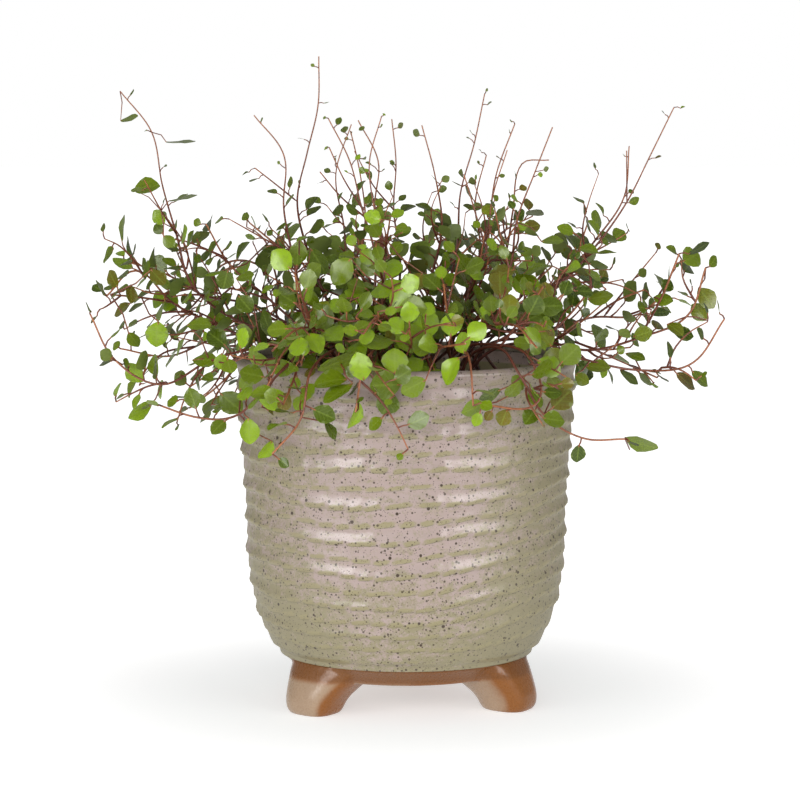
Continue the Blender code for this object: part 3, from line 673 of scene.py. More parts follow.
def full_growth():
    """The solids' vines with fine twigs and leaves added, each leaf with its form and tone; the tone is raised at the
    front as painted light and lowered on the right as painted shade.
    """
    vines, room = grow_vines()
    draw = random.Random(11)
    for vine in vines:
        vine["leaves"] = [leaf for leaf in vine["leaves"] if not hides(leaf)
                          and draw.random() < 0.15 + 0.85 * height_share(leaf["base"])]
        for leaf in vine["leaves"]:
            leaf["length"] *= height_share(leaf["base"])
            leaf["width"] *= height_share(leaf["base"])
    add_heroes(room, vines)
    for i, vine in enumerate(vines):
        add_twigs(room, vine, random.Random(700 + i))
    for i, vine in enumerate(vines):
        add_leaves(room, vine, random.Random(900 + i))
    for vine in vines:
        mood = draw.uniform(-0.15, 0.15)
        for leaf in vine["leaves"]:
            place = leaf["base"]
            leaf["form"] = draw.randrange(len(LEAF_FORMS))
            # Painted light: leaves near the front middle get a brighter tone, and those right of x = 30 a darker one as
            # painted shade.
            front = max(0.0, min(1.0, -place.y / 70)) * max(0.0, 1 - abs(place.x + 5) / 80)
            tone_and_light = draw.betavariate(1.2, 1.75) + mood + 0.3 * front - (0.08 if place.x > 30 else 0.0)
            bronze = draw.uniform(0.4, 1.0) if draw.random() < (0.18 if place.x > 20 else 0.06) else 0.0
            leaf.setdefault("tone_and_light", max(0.0, min(1.0, tone_and_light)))
            leaf.setdefault("bronze", bronze)
    return vines


class Sock:
    """A socket of a node tree that takes part in Python arithmetic and makes further nodes."""

    def __init__(self, tree, out=None):
        self.tree = tree
        self.out = out

    @staticmethod
    def found(sockets, key):
        if isinstance(key, int):
            return sockets[key]
        return next(socket for socket in sockets if socket.name == key and socket.enabled)

    def node(self, kind, settings=None, values=None, output=0):
        """Any node: its type, its settings, the values or links of its sockets, and the output wanted."""
        made = self.tree.nodes.new(kind)
        settings = dict(settings or {})
        stops = settings.pop("stops", ())
        for key, value in settings.items():
            setattr(made, key, value)
        for i, (place, colour) in enumerate(stops):
            if i >= len(made.color_ramp.elements):
                made.color_ramp.elements.new(place)
            made.color_ramp.elements[i].position = place
            made.color_ramp.elements[i].color = colour
        for key, value in (values or {}).items():
            socket = self.found(made.inputs, key)
            if isinstance(value, Sock):
                self.tree.links.new(value.out, socket)
            else:
                socket.default_value = value
        return Sock(self.tree, self.found(made.outputs, output))

    def other(self, name):
        """Another output of the same node."""
        return Sock(self.tree, self.found(self.out.node.outputs, name))

    def maths(self, operation, *values):
        return self.node("ShaderNodeMath", {"operation": operation}, dict(enumerate(values)))

    def vector(self, operation, *values, output=0):
        return self.node("ShaderNodeVectorMath", {"operation": operation}, dict(enumerate(values)), output)

    def __add__(self, other):
        return self.maths("ADD", self, other)

    __radd__ = __add__

    def __sub__(self, other):
        return self.maths("SUBTRACT", self, other)

    def __rsub__(self, other):
        return self.maths("SUBTRACT", other, self)

    def __mul__(self, other):
        return self.maths("MULTIPLY", self, other)

    __rmul__ = __mul__

    def __truediv__(self, other):
        return self.maths("DIVIDE", self, other)

    def __pow__(self, other):
        return self.maths("POWER", self, other)

    def sine(self):
        return self.maths("SINE", self)

    def cosine(self):
        return self.maths("COSINE", self)

    def ease(self, low, high):
        """0 below low and 1 above high, or the other way round where low is above high."""
        if low > high:
            return 1 - self.ease(high, low)
        return self.node("ShaderNodeMapRange", {"interpolation_type": "SMOOTHSTEP"}, {0: self, 1: low, 2: high})

    def blend(self, first, second):
        """The first colour where this is 0, the second where it is 1."""
        return self.node("ShaderNodeMix", {"data_type": "RGBA"}, {0: self, 6: first, 7: second}, 2)

    def noise(self, scale, detail=2.0, roughness=0.5, place=None):
        """Noise with features about 1 / scale long, in the units of the place."""
        values = {"Vector": place or self, "Scale": scale, "Detail": detail, "Roughness": roughness}
        return self.node("ShaderNodeTexNoise", None, values, "Fac")

    def parts(self):
        """The three numbers of a vector."""
        split = self.node("ShaderNodeSeparateXYZ", None, {0: self})
        return split, split.other("Y"), split.other("Z")


def material(name, roughness, **constants):
    """A new material: its tree's first socket, its shader and the object's coordinates in millimetres."""
    made = bpy.data.materials.new(name)
    made.use_nodes = True
    tree = made.node_tree
    shader = tree.nodes["Principled BSDF"]
    shader.inputs["Roughness"].default_value = roughness
    for key, value in constants.items():
        shader.inputs[key.replace("_", " ")].default_value = value
    place = Sock(tree).node("ShaderNodeTexCoord", None, None, "Object")
    return made, shader, place.vector("MULTIPLY", place, (1 / MM,) * 3)


def feed(shader, **sources):
    """Links sockets into a shader by the names of its inputs."""
    for key, source in sources.items():
        source.tree.links.new(source.out, shader.inputs[key.replace("_", " ")])


def bumped(height, distance, strength=1.0):
    return height.node("ShaderNodeBump", None, {"Height": height, "Distance": distance, "Strength": strength},
                       "Normal")


def attribute(start, name, output="Fac"):
    return start.node("ShaderNodeAttribute", {"attribute_name": name}, None, output)


def rgba(colour):
    return (*colour, 1.0)


def new_tree(name, inputs):
    """A Geometry Nodes tree with a geometry in and out and named inputs: its first socket and its output."""
    tree = bpy.data.node_groups.new(name, "GeometryNodeTree")
    tree.interface.new_socket("Geometry", in_out="INPUT", socket_type="NodeSocketGeometry")
    for label, kind, value in inputs:
        made = tree.interface.new_socket(label, in_out="INPUT", socket_type=kind)
        if value is not None:
            made.default_value = value
    tree.interface.new_socket("Geometry", in_out="OUTPUT", socket_type="NodeSocketGeometry")
    start = Sock(tree).node("NodeGroupInput", None, None, "Geometry")
    return start, tree.nodes.new("NodeGroupOutput")


def named(start, name, kind="FLOAT"):
    return start.node("GeometryNodeInputNamedAttribute", {"data_type": kind}, {"Name": name}, "Attribute")


def finished(source, start, name, values):
    """The plain mesh that a tree makes of a source object, as an object that rides on the body."""
    modifier = source.modifiers.new("Shape", "NODES")
    modifier.node_group = start.tree
    for item in start.tree.interface.items_tree:
        if item.in_out == "INPUT" and item.name in values:
            modifier[item.identifier] = values[item.name]
    mesh = bpy.data.meshes.new_from_object(source.evaluated_get(bpy.context.evaluated_depsgraph_get()))
    bpy.data.objects.remove(source, do_unlink=True)
    mesh.name = name
    made = bpy.data.objects.new(name, mesh)
    bpy.context.scene.collection.objects.link(made)
    return made


def linked(name, mesh):
    made = bpy.data.objects.new(name, mesh)
    bpy.context.scene.collection.objects.link(made)
    return made


# The leafy stems


def leaf_half(along):
    """Half a blade's width at a share of its length, for a blade 1 wide."""
    return max(0.5 * max(math.sin(math.pi * min(along, 1.0) ** 1.06), 0.0) ** 0.68, 0.03)


def leaf_form(name, home, form):
    """A closed, thin blade 1 wide and 1 long, from the end of its stalk along Y, with its face up."""
    cup, fold, droop, twist = form
    index, points, blade, faces, under = {}, [], [], [], []
    for side in (1, -1):
        for i, along in enumerate(LEAF_ROWS):
            for j, aside in enumerate(LEAF_COLUMNS):
                rim = abs(aside) == 1 or along in (0.0, 1.0)
                if rim and side < 0:
                    index[i, j, side] = index[i, j, 1]
                    continue
                index[i, j, side] = len(points)
                x = aside * leaf_half(along)
                z = cup * (2 * x) ** 2 * 0.5 + fold * abs(2 * x) * 0.5 - droop * along * along
                z += 0.02 * math.sin(9 * along + 4 * aside) * abs(aside)
                turn = twist * (along - 0.3)
                skin = 0.0 if rim else side * LEAF_SKIN
                points.append((x * math.cos(turn) - z * math.sin(turn), along,
                               x * math.sin(turn) + z * math.cos(turn) + skin))
                blade.append((aside, along, 0.0))
        for i in range(len(LEAF_ROWS) - 1):
            for j in range(len(LEAF_COLUMNS) - 1):
                face = [index[i, j, side], index[i, j + 1, side], index[i + 1, j + 1, side], index[i + 1, j, side]]
                faces.append(face[::side])
                under.append(side < 0)
    mesh = bpy.data.meshes.new(name)
    mesh.from_pydata(points, [], faces)
    mesh.polygons.foreach_set("use_smooth", [True] * len(faces))
    mesh.attributes.new("blade", "FLOAT_VECTOR", "POINT").data.foreach_set("vector", [v for p in blade for v in p])
    mesh.attributes.new("under", "FLOAT", "FACE").data.foreach_set("value", [float(u) for u in under])
    mesh.attributes.new("is_blade", "BOOLEAN", "FACE").data.foreach_set("value", [True] * len(faces))
    mesh.set_sharp_from_angle(angle=math.radians(70))
    made = bpy.data.objects.new(name, mesh)
    home.objects.link(made)
    return made


def leafy_tree():
    """Tubes along the lines and a blade on each lone point."""
    start, end = new_tree("Leafy stems", (
        ("Stem Sides", "NodeSocketInt", 6),
        ("Stem Thickness", "NodeSocketFloat", 1.0),
        ("Leaf Size", "NodeSocketFloat", 1.0),
        ("Leaf Forms", "NodeSocketCollection", None),
        ("Bark", "NodeSocketMaterial", None),
        ("Leaf", "NodeSocketMaterial", None),
    ))
    parted = start.node("GeometryNodeSeparateGeometry", {"domain": "POINT"},
                        {"Geometry": start, "Selection": named(start, "leaf", "BOOLEAN")}, "Selection")
    curve = start.node("GeometryNodeMeshToCurve", None, {"Mesh": parted.other("Inverted")})
    ring = start.node("GeometryNodeCurvePrimitiveCircle", {"mode": "RADIUS"},
                      {"Resolution": start.other("Stem Sides"), "Radius": 1.0}, "Curve")
    thick = named(start, "thick") * start.other("Stem Thickness")
    tubes = start.node("GeometryNodeCurveToMesh", None,
                       {"Curve": curve, "Profile Curve": ring, "Scale": thick, "Fill Caps": True})
    tubes = start.node("GeometryNodeSetShadeSmooth", None, {"Geometry": tubes, "Shade Smooth": True})
    forms = start.node("GeometryNodeCollectionInfo", None,
                       {"Collection": start.other("Leaf Forms"), "Separate Children": True, "Reset Children": True})
    spread = named(start, "spread", "FLOAT_VECTOR")
    size = start.other("Leaf Size")
    size = start.node("ShaderNodeCombineXYZ", None, {0: size, 1: size, 2: size})
    blades = start.node("GeometryNodeInstanceOnPoints", None, {
        "Points": parted, "Instance": forms, "Pick Instance": True,
        "Instance Index": named(start, "form", "INT"), "Rotation": named(start, "aim", "QUATERNION"),
        "Scale": spread.vector("MULTIPLY", spread, size)})
    both = start.tree.nodes.new("GeometryNodeJoinGeometry")
    for part in (tubes, blades):
        start.tree.links.new(part.out, both.inputs[0])
    real = start.node("GeometryNodeRealizeInstances", None, {0: Sock(start.tree, both.outputs[0])})
    barked = start.node("GeometryNodeSetMaterial", None, {"Geometry": real, "Material": start.other("Bark")})
    green = start.node("GeometryNodeSetMaterial", None, {
        "Geometry": barked, "Selection": named(start, "is_blade", "BOOLEAN"), "Material": start.other("Leaf")})
    start.tree.links.new(green.out, end.inputs[0])
    return start


def skeleton(name, vines):
    """Stems and stalks as lines and leaves as lone points, with all that the tree reads."""
    points, edges = [], []
    values = {"thick": [], "age": [], "leaf": [], "form": [], "tone_and_light": [], "bronze": [], "spread": [], "aim": []}

    def add(place, thick=0.0, age=0.0, leaf=None):
        points.append(place * MM)
        values["thick"].append(thick * MM)
        values["age"].append(age)
        values["leaf"].append(leaf is not None)
        values["form"].append(leaf["form"] if leaf else 0)
        values["tone_and_light"].append(leaf["tone_and_light"] if leaf else 0.0)
        values["bronze"].append(leaf["bronze"] if leaf else 0.0)
        values["spread"] += (leaf["width"] * MM, leaf["length"] * MM, leaf["length"] * MM) if leaf else (0, 0, 0)
        aim = Matrix((leaf["ahead"].cross(leaf["up"]), leaf["ahead"], leaf["up"])).transposed() if leaf else None
        values["aim"] += tuple(aim.to_quaternion()) if aim else (1, 0, 0, 0)

    def add_line(line, thick, thin, young, old):
        for i, place in enumerate(line):
            share = i / (len(line) - 1)
            slim = 1 - 0.35 * max(0.0, min(1.0, (place.z - 165) / 40))
            add(place, (thick + (thin - thick) * share) * slim, young + (old - young) * share)
        first = len(points) - len(line)
        edges.extend((first + i, first + i + 1) for i in range(len(line) - 1))

    for vine in vines:
        fine = []
        for order, stem in enumerate(vine["stems"]):
            line = smooth(stem["line"], FINE_STEP)
            slim = STEM_SLIM if order < 2 else 1.0
            if fine:
                joint = min(fine, key=lambda place: (place - line[0]).length)
                line = [joint] + line if (joint - line[0]).length > 0.15 else line
            fine += line
            add_line(line, stem["thick"] * slim, stem["thin"] * slim * 0.8, 0.0 if order < 1 else 0.45, 1.0)
        for leaf in vine["leaves"]:
            root = min(fine, key=lambda place: (place - leaf["root"]).length)
            stalk = leaf["base"] - root
            bow = (leaf["up"] * 0.12 + leaf["ahead"] * 0.1) * stalk.length
            end = leaf["base"] + leaf["ahead"] * leaf["length"] * 0.12
            add_line([root, root + stalk * 0.5 + bow, leaf["base"], end], STALK_RADIUS * 1.25, STALK_RADIUS,
                     0.6, 1.0)
            add(leaf["base"], leaf=leaf)
    mesh = bpy.data.meshes.new(name)
    mesh.from_pydata(points, edges, [])
    for key, kind, field in (("thick", "FLOAT", "value"), ("age", "FLOAT", "value"), ("leaf", "BOOLEAN", "value"),
                             ("form", "INT", "value"), ("tone_and_light", "FLOAT", "value"), ("bronze", "FLOAT", "value"),
                             ("spread", "FLOAT_VECTOR", "vector"), ("aim", "QUATERNION", "value")):
        mesh.attributes.new(key, kind, "POINT").data.foreach_set(field, values[key])
    return linked(name, mesh)


def leaf_material(sizes):
    """Green blades: dark to bright by their tone, partly random and partly painted light and shade, some bronze, with a
    midrib, veins and a pale back.
    """
    made, shader, place = material("wire_vine_leaf", 0.32, Specular_IOR_Level=0.36)
    blade = attribute(place, "blade", "Vector")
    aside, along, _ = blade.parts()
    tone_and_light = attribute(place, "tone_and_light")
    deep = tone_and_light.ease(0.0, 0.55).blend(rgba(sizes.dark_leaf), rgba(sizes.leaf))
    green = tone_and_light.ease(0.5, 1.0).blend(deep, rgba(sizes.bright_leaf))
    green = attribute(place, "bronze").blend(green, rgba(sizes.bronze_leaf))
    mottle = place.noise(0.5, 3.0, 0.6)
    green = (mottle.ease(0.35, 0.7) * 0.35).blend(green, rgba([0.6 * c for c in sizes.leaf]))
    rib = 1 - aside.maths("ABSOLUTE", aside).ease(0.03, 0.13)
    veins = ((along * 34 - aside.maths("ABSOLUTE", aside) * 13).sine().ease(0.75, 1.0)) * 0.18
    green = (rib * 0.3 + veins).blend(green, rgba([min(1.0, 1.5 * c + 0.04) for c in sizes.leaf]))
    edge = aside.maths("ABSOLUTE", aside).ease(0.84, 1.0) * 0.3
    green = edge.blend(green, rgba([1.25 * c + 0.02 for c in sizes.leaf]))
    back = (rib * 0.4).blend(rgba(sizes.leaf_back), rgba([0.7 * c for c in sizes.leaf_back]))
    back = (tone_and_light * 0.25 + 0.25).blend(back, green)
    colour = attribute(place, "under").blend(green, back)
    feed(shader, Base_Color=colour, Roughness=attribute(place, "under") * 0.25 + mottle * 0.16 + 0.2)
    return made


def bark_material(sizes):
    """Wiry stems: dark maroon bark below, red-brown above and orange-tan at the tips."""
    made, shader, place = material("wire_vine_bark", 0.45)
    age = attribute(place, "age")
    streak = place.noise(0.9, 3.0, 0.6)
    low = (age + streak * 0.5 - 0.25).ease(0.0, 0.6).blend(rgba(sizes.old_bark), rgba(sizes.bark))
    colour = (age + streak * 0.7 - 0.35).ease(0.6, 1.15).blend(low, rgba(sizes.young_bark))
    feed(shader, Base_Color=colour, Roughness=streak * 0.3 + 0.3)
    return made


class VineSettings(bpy.types.PropertyGroup):
    """What a user would change of the leafy stems."""

    stem_sides: IntProperty(name="Stem Sides", description="Sides of each stem", default=6, min=3, max=12)
    stem_thickness: FloatProperty(name="Stem Thickness", description="Thickness of all stems beside the real one",
                                  default=1.0, min=0.5, max=1.5, subtype="FACTOR")
    leaf_size: FloatProperty(name="Leaf Size", description="Size of all leaves beside the real one",
                             default=1.0, min=0.5, max=1.3, subtype="FACTOR")
    # Dark Leaf, Leaf and Bright Leaf are blended by each leaf's tone, a random spread with painted light at the front
    # and painted shade on the right, not by the leaf's age.
    dark_leaf: FloatVectorProperty(name="Dark Leaf", description="Colour of the oldest leaves", subtype="COLOR",
                                   default=(0.038, 0.066, 0.002), min=0, max=1)
    leaf: FloatVectorProperty(name="Leaf", description="Colour of most leaves", subtype="COLOR",
                              default=(0.14, 0.2, 0.005), min=0, max=1)
    bright_leaf: FloatVectorProperty(name="Bright Leaf", description="Colour of the youngest leaves",
                                     subtype="COLOR", default=(0.27, 0.43, 0.012), min=0, max=1)
    bronze_leaf: FloatVectorProperty(name="Bronze Leaf", description="Colour of bronze leaves and of the rims",
                                     subtype="COLOR", default=(0.15, 0.09, 0.01), min=0, max=1)
    leaf_back: FloatVectorProperty(name="Leaf Back", description="Colour of the undersides", subtype="COLOR",
                                   default=(0.16, 0.2, 0.055), min=0, max=1)
    old_bark: FloatVectorProperty(name="Old Bark", description="Colour of the stems near the soil",
                                  subtype="COLOR", default=(0.035, 0.012, 0.01), min=0, max=1)
    bark: FloatVectorProperty(name="Bark", description="Colour of the stems half way up", subtype="COLOR",
                              default=(0.13, 0.03, 0.014), min=0, max=1)
    young_bark: FloatVectorProperty(name="Young Bark", description="Colour of the tips and stalks",
                                    subtype="COLOR", default=(0.42, 0.15, 0.055), min=0, max=1)


class WIREVINE_OT_foliage(bpy.types.Operator):
    """Makes the finished leafy stems in place of the solid vines"""

    bl_idname = "wirevine.foliage"
    bl_label = "Leafy Stems"

    def execute(self, context):
        sizes = context.scene.wire_vine
        forms = bpy.data.collections.new("leaf_forms")
        for i, form in enumerate(LEAF_FORMS):
            leaf_form(f"leaf_form_{i}", forms, form)
        tree = leafy_tree()
        values = {"Stem Sides": sizes.stem_sides, "Stem Thickness": sizes.stem_thickness,
                  "Leaf Size": sizes.leaf_size, "Leaf Forms": forms, "Bark": bark_material(sizes),
                  "Leaf": leaf_material(sizes)}
        left = full_growth()
        for group, starts in FOLIAGE:
            vines = [vine for vine in left if vine["name"].startswith(starts)]
            left = [vine for vine in left if vine not in vines]
            piece = finished(skeleton("skeleton_" + group, vines), tree, "leafy_stems_" + group, values)
            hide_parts(*["vine_" + vine["name"] for vine in vines])
            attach(piece, BODY)
            print(piece.name, len(vines), "vines", sum(len(vine["leaves"]) for vine in vines), "leaves",
                  len(piece.data.polygons), "faces")
        for made in list(forms.objects):
            bpy.data.objects.remove(made, do_unlink=True)
        bpy.data.collections.remove(forms)
        return {"FINISHED"}


# The pot

WALL_TURNS = 288
WALL_STEP = 0.7
GLAZE_EDGE = 19.6  # height where the glaze ends over the bare clay
DASHES = 45
CLAY_VOXEL = 0.7
FOLD_TURNS = (8.0, 14.0, 186.0)  # where the fold of each foot faces, round from the front towards +X
FOLD_DEPTH = 0.22
# A foot's rings from inside the base down to its flat: radius, height and distance from the axis
FINE_FOOT = ((14.6, 21.5, 31.0), (18.0, 18.5, 30.2), (17.6, 15.5, 32.0), (15.8, 12.4, 35.0), (13.8, 9.2, 38.2),
             (12.3, 6.2, 40.6), (11.4, 3.8, 41.8), (10.7, 1.6, 42.2), (9.6, 0.0, 42.2), (7.8, -0.9, 42.2))


def wall_radius(height):
    """The outer radius on the crests, rounded where the outline bends."""
    return sum(outer_radius(height + k) for k in (-3, -1.5, 0, 1.5, 3) if height + k <= RIM_HEIGHT) / len(
        [k for k in (-3, -1.5, 0, 1.5, 3) if height + k <= RIM_HEIGHT])


def wall_outline():
    """The glazed wall's closed outline: lip, outside down to the glaze edge, underside and inside.

    Also how many of its points belong to the lip and the outside.
    """
    lip = RIM_RADIUS - INSIDE[-1][0]
    points = []
    for i in range(9):
        turn = math.pi * (1 - i / 8)
        points.append((RIM_RADIUS - lip / 2 + lip / 2 * math.cos(turn), RIM_HEIGHT - lip / 2 + lip / 2 * math.sin(turn)))
    height = RIM_HEIGHT - lip / 2 - WALL_STEP
    while height > GLAZE_EDGE:
        points.append((wall_radius(height), height))
        height -= WALL_STEP
    outer = len(points)
    edge = wall_radius(GLAZE_EDGE)
    points += [(edge - 0.25, GLAZE_EDGE - 0.3), (edge - 0.9, GLAZE_EDGE - 0.35), (INSIDE[0][0], INSIDE[0][1])]
    for (a, low), (b, high) in zip(INSIDE, INSIDE[1:]):
        steps = max(1, round((high - low) / 4))
        points += [(a + (b - a) * k / steps, low + (high - low) * k / steps) for k in range(1, steps + 1)]
    return points, outer


def turned_mesh(name, outline, steps):
    """A closed outline turned round the Z axis, as a mesh that is closed where the outline is."""
    count = len(outline)
    points = [(radius * MM * math.cos(turn), radius * MM * math.sin(turn), height * MM)
              for turn in (2 * math.pi * i / steps for i in range(steps)) for radius, height in outline]
    faces = [(i * count + k, i * count + (k + 1) % count, (i + 1) % steps * count + (k + 1) % count,
              (i + 1) % steps * count + k) for i in range(steps) for k in range(count)]
    mesh = bpy.data.meshes.new(name)
    mesh.from_pydata(points, [], faces)
    shape = bmesh.new()
    shape.from_mesh(mesh)
    bmesh.ops.recalc_face_normals(shape, faces=shape.faces)
    shape.to_mesh(mesh)
    shape.free()
    mesh.polygons.foreach_set("use_smooth", [True] * len(mesh.polygons))
    return mesh


def rib_pattern(place, pitch):
    """The thrown ribs at a place in millimetres: their relief, their olive pads and a dark line under the pads that
    paints the shadow of each rib's step.

    A rib slopes out gently from above to its crest and drops quickly under it. Pads of glaze lie along the
    crest like bricks, each rising a little to the right.
    """
    x, y, z = place.parts()
    turn = x.maths("ARCTAN2", x, 0 - y)
    sag = z.ease(122.0, 60.0) * (3.0 * turn.sine() - 2.6 * (2 * turn).cosine() * (0.45 + 0.55 * z.ease(110.0, 70.0)))
    sag = sag * z.ease(22.0, 42.0) + 0.5 * (5 * turn + 0.09 * z).sine() + 0.3 * (11 * turn - 0.21 * z).sine()
    phase = (z - sag - RIB_LOWEST) / pitch + 0.2
    rib = phase.maths("FLOOR", phase)
    odd = (rib * 12.9898).sine() * 437.58
    odd = odd.maths("FRACT", odd)
    beat = turn * (DASHES / (2 * math.pi)) + odd + 0.3 * (3 * turn + rib * 2.1).sine()
    beat += 0.16 * (11 * turn + rib * 4.7).sine()
    along = beat.maths("FRACT", beat) - 0.5
    across = phase - rib - 0.14 * along * (0.4 + odd)
    strength = 0.62 + 0.26 * (rib * math.pi).cosine() + 0.24 * (odd - 0.5)
    slope = across.node("ShaderNodeMapRange", None, {0: across, 1: 0.28, 2: 1.0, 3: 1.0, 4: 0.0})
    relief = across.ease(0.0, 0.2) * slope ** 1.7 * strength
    fade = z.ease(GLAZE_EDGE + 1.0, GLAZE_EDGE + 4.0) * z.ease(129.5, 124.5)
    gap = along.maths("ABSOLUTE", along).ease(0.34, 0.49)
    lift = across.maths("ABSOLUTE", across - 0.2) / (0.12 + 0.07 * odd)
    rounded = ((lift ** 3) + (along.maths("ABSOLUTE", along) / 0.42) ** 3) ** 0.333
    pad = (rounded + (place.noise(0.55, 2.0) - 0.5) * 1.3).ease(1.25, 0.7) * fade
    # The band under each pad where the glaze is darkened as a painted shadow of the rib's step.
    line = across.maths("ABSOLUTE", across - 0.045).ease(0.05, 0.01) * (1 - gap) * fade
    return relief * (1 - 0.4 * gap * across.ease(0.5, 0.25)) * fade, pad, line, turn, z


def ribs_tree():
    """Thrown ribs raised on the outside of a turned wall, and the inside marked for the glaze."""
    start, end = new_tree("Thrown ribs", (
        ("Rib Depth", "NodeSocketFloat", RIB_DEPTH),
        ("Rib Pitch", "NodeSocketFloat", 7.0),
        ("Hand Unevenness", "NodeSocketFloat", 0.25),
        ("Glaze", "NodeSocketMaterial", None),
    ))
    place = start.node("GeometryNodeInputPosition")
    place = place.vector("MULTIPLY", place, (1 / MM,) * 3)
    x, y, z = place.parts()
    reach = (x * x + y * y).maths("SQRT", x * x + y * y)
    outside = named(start, "outside")
    relief = rib_pattern(place, start.other("Rib Pitch"))[0]
    swell = (place.noise(0.02, 1.0) - 0.6) * start.other("Hand Unevenness") * 2
    edge = z.ease(GLAZE_EDGE - 0.5, GLAZE_EDGE + 1.5) * z.ease(131.0, 126.0)
    push = outside * edge * ((relief - 1) * start.other("Rib Depth") + swell) * MM / reach
    shift = x.node("ShaderNodeCombineXYZ", None, {0: push * x, 1: push * y, 2: 0.0})
    shaped = start.node("GeometryNodeSetPosition", None, {"Geometry": start, "Offset": shift})
    real = start.node("GeometryNodeRealizeInstances", None, {0: shaped})
    made = start.node("GeometryNodeSetMaterial", None, {"Geometry": real, "Material": start.other("Glaze")})
    start.tree.links.new(made.out, end.inputs[0])
    return start


def glaze_material(sizes):
    """Glossy mauve glaze, olive on the rib pads, mottled olive at the sides and low down, full of specks, with a
    painted shadow line under the pads, a darker olive on the right as painted shade and a much lighter inside as
    painted light.
    """
    made, shader, place = material("speckled_glaze", 0.2, Specular_IOR_Level=0.5)
    _, pad, line, turn, z = rib_pattern(place, sizes.rib_pitch)
    outside = attribute(place, "outside")
    flat = place.vector("MULTIPLY", place, (1.0, 1.0, 1.7))
    cloud = flat.noise(0.05, 2.0, 0.6)
    blotch = flat.noise(0.22, 3.0, 0.65)
    fine = place.noise(1.1, 3.0, 0.7)
    side = turn.ease(0.2, 1.0) * 0.36 + turn.ease(-0.25, -1.0) * 0.3
    share = 0.32 + side + z.ease(70.0, 24.0) * 0.34
    share += (cloud - 0.5) * 0.6 + (blotch - 0.5) * 1.2 + (fine - 0.5) * 1.0
    ground = share.ease(0.28, 0.78).blend(rgba(sizes.mauve), rgba(sizes.olive))
    # Towards the right the glaze turns a darker olive: olive glaze, darkened further as painted shade on the side away
    # from the key softbox.
    ground = (turn.ease(0.3, 1.3) * 0.45).blend(ground, rgba([0.85 * c for c in sizes.olive]))
    ground = (z.ease(118.0, 131.0) * 0.4).blend(ground, rgba([0.93 * c for c in sizes.mauve]))
    ground = (pad * (0.95 - 0.5 * side)).blend(ground, rgba(sizes.pad))
    # Painted shadow: a thin dark olive line under each pad, where the rib drops away.
    ground = (line * 0.42).blend(ground, rgba([0.45 * c for c in sizes.olive]))
    # Painted light: the inside takes a much paler glaze and copies of the olive and mauve at 1.9 and 1.7 times, so that
    # the shaded inner wall looks lit.
    inner = z.ease(118.8, 119.6).blend(rgba(sizes.inner), rgba([1.9 * c for c in sizes.olive]))
    inner = z.ease(124.5, 125.3).blend(inner, rgba([1.7 * c for c in sizes.mauve]))
    colour = outside.ease(0.4, 0.6).blend(inner, ground)
    few = 0.35 + 0.65 * outside
    for scale, often, size, shade in ((1.5, 0.5, 0.34, 0.5), (0.78, 0.5, 0.33, 0.85), (0.36, 0.3, 0.2, 1.0)):
        cell = place.node("ShaderNodeTexVoronoi", {"feature": "F1"}, {"Vector": place, "Scale": scale}, "Distance")
        tone, pick, _ = cell.other("Color").parts()
        dot = 1 - (cell - (tone * 0.75 + 0.25) * size + (fine - 0.5) * 0.1).ease(0.0, 0.08)
        colour = (dot * pick.maths("LESS_THAN", pick, often * few) * shade).blend(colour, rgba(sizes.speck))
    feed(shader, Base_Color=colour, Roughness=0.17 + fine * 0.16 + side * 0.8,
         Normal=bumped(place.noise(0.35, 2.0) * 0.5 + fine * 0.25, 0.0002))
    return made


def clay_material(sizes):
    """Bare base and feet, glossy orange-brown clay: faces turned left, most of all on the left foot, are painted light
    tan as painted light from the left softbox, and the base ring, which faces down, is darkened as painted shade.
    """
    made, shader, place = material("caramel_clay", 0.25, Specular_IOR_Level=0.35)
    cloud = place.noise(0.07, 2.0, 0.55)
    fine = place.noise(0.9, 3.0, 0.6)
    face = place.node("ShaderNodeNewGeometry", None, None, "Normal").parts()[0]
    x, _, z = place.parts()
    # Painted light: faces turned left, towards the key softbox, take the light tan and faces turned right the
    # orange-brown; towards +X the clay leans orange as painted shade on the right foot's inward faces, and the base
    # ring takes the orange-brown.
    unlit_side = (face * 0.9 + (cloud - 0.5) * 0.4 + x.ease(-10.0, 45.0) * 0.3).ease(-0.2, 0.2)
    unlit_side = unlit_side.maths("MAXIMUM", unlit_side, z.ease(11.5, 14.0) * 0.85)
    colour = unlit_side.blend(rgba(sizes.lit_tan_clay), rgba(sizes.orange_clay))
    # Painted shade: the base ring, which faces down, is darkened.
    colour = (z.ease(12.5, 14.5) * 0.6).blend(colour, rgba([0.55 * c for c in sizes.orange_clay]))
    colour = ((fine - 0.5).ease(0.0, 0.3) * 0.25).blend(colour, rgba([0.7 * c for c in sizes.orange_clay]))
    feed(shader, Base_Color=colour, Roughness=0.2 + fine * 0.16,
         Normal=bumped(place.noise(0.3, 2.0) + fine * 0.1, 0.0002))
    return made


def foot_mesh(shape, turn, fold):
    """Adds one foot to a mesh in the making: rings round a leaning line, with a soft fold facing one way."""
    rings = []
    sides = 48
    spin = Matrix.Rotation(math.radians(turn - 90), 3, "Z")
    for radius, height, reach in FINE_FOOT:
        ring = []
        for k in range(sides):
            angle = 2 * math.pi * k / sides
            swell = 1 + FOLD_DEPTH * max(0.0, math.cos(angle - math.radians(fold - turn))) ** 9
            place = Vector((radius * math.cos(angle) * swell + reach, radius * math.sin(angle) * swell, height))
            ring.append(shape.verts.new(spin @ place * MM))
        rings.append(ring)
    for a, b in zip(rings, rings[1:]):
        for k in range(sides):
            shape.faces.new((a[k], a[k - 1], b[k - 1], b[k]))
    shape.faces.new(rings[0])
    shape.faces.new(rings[-1])


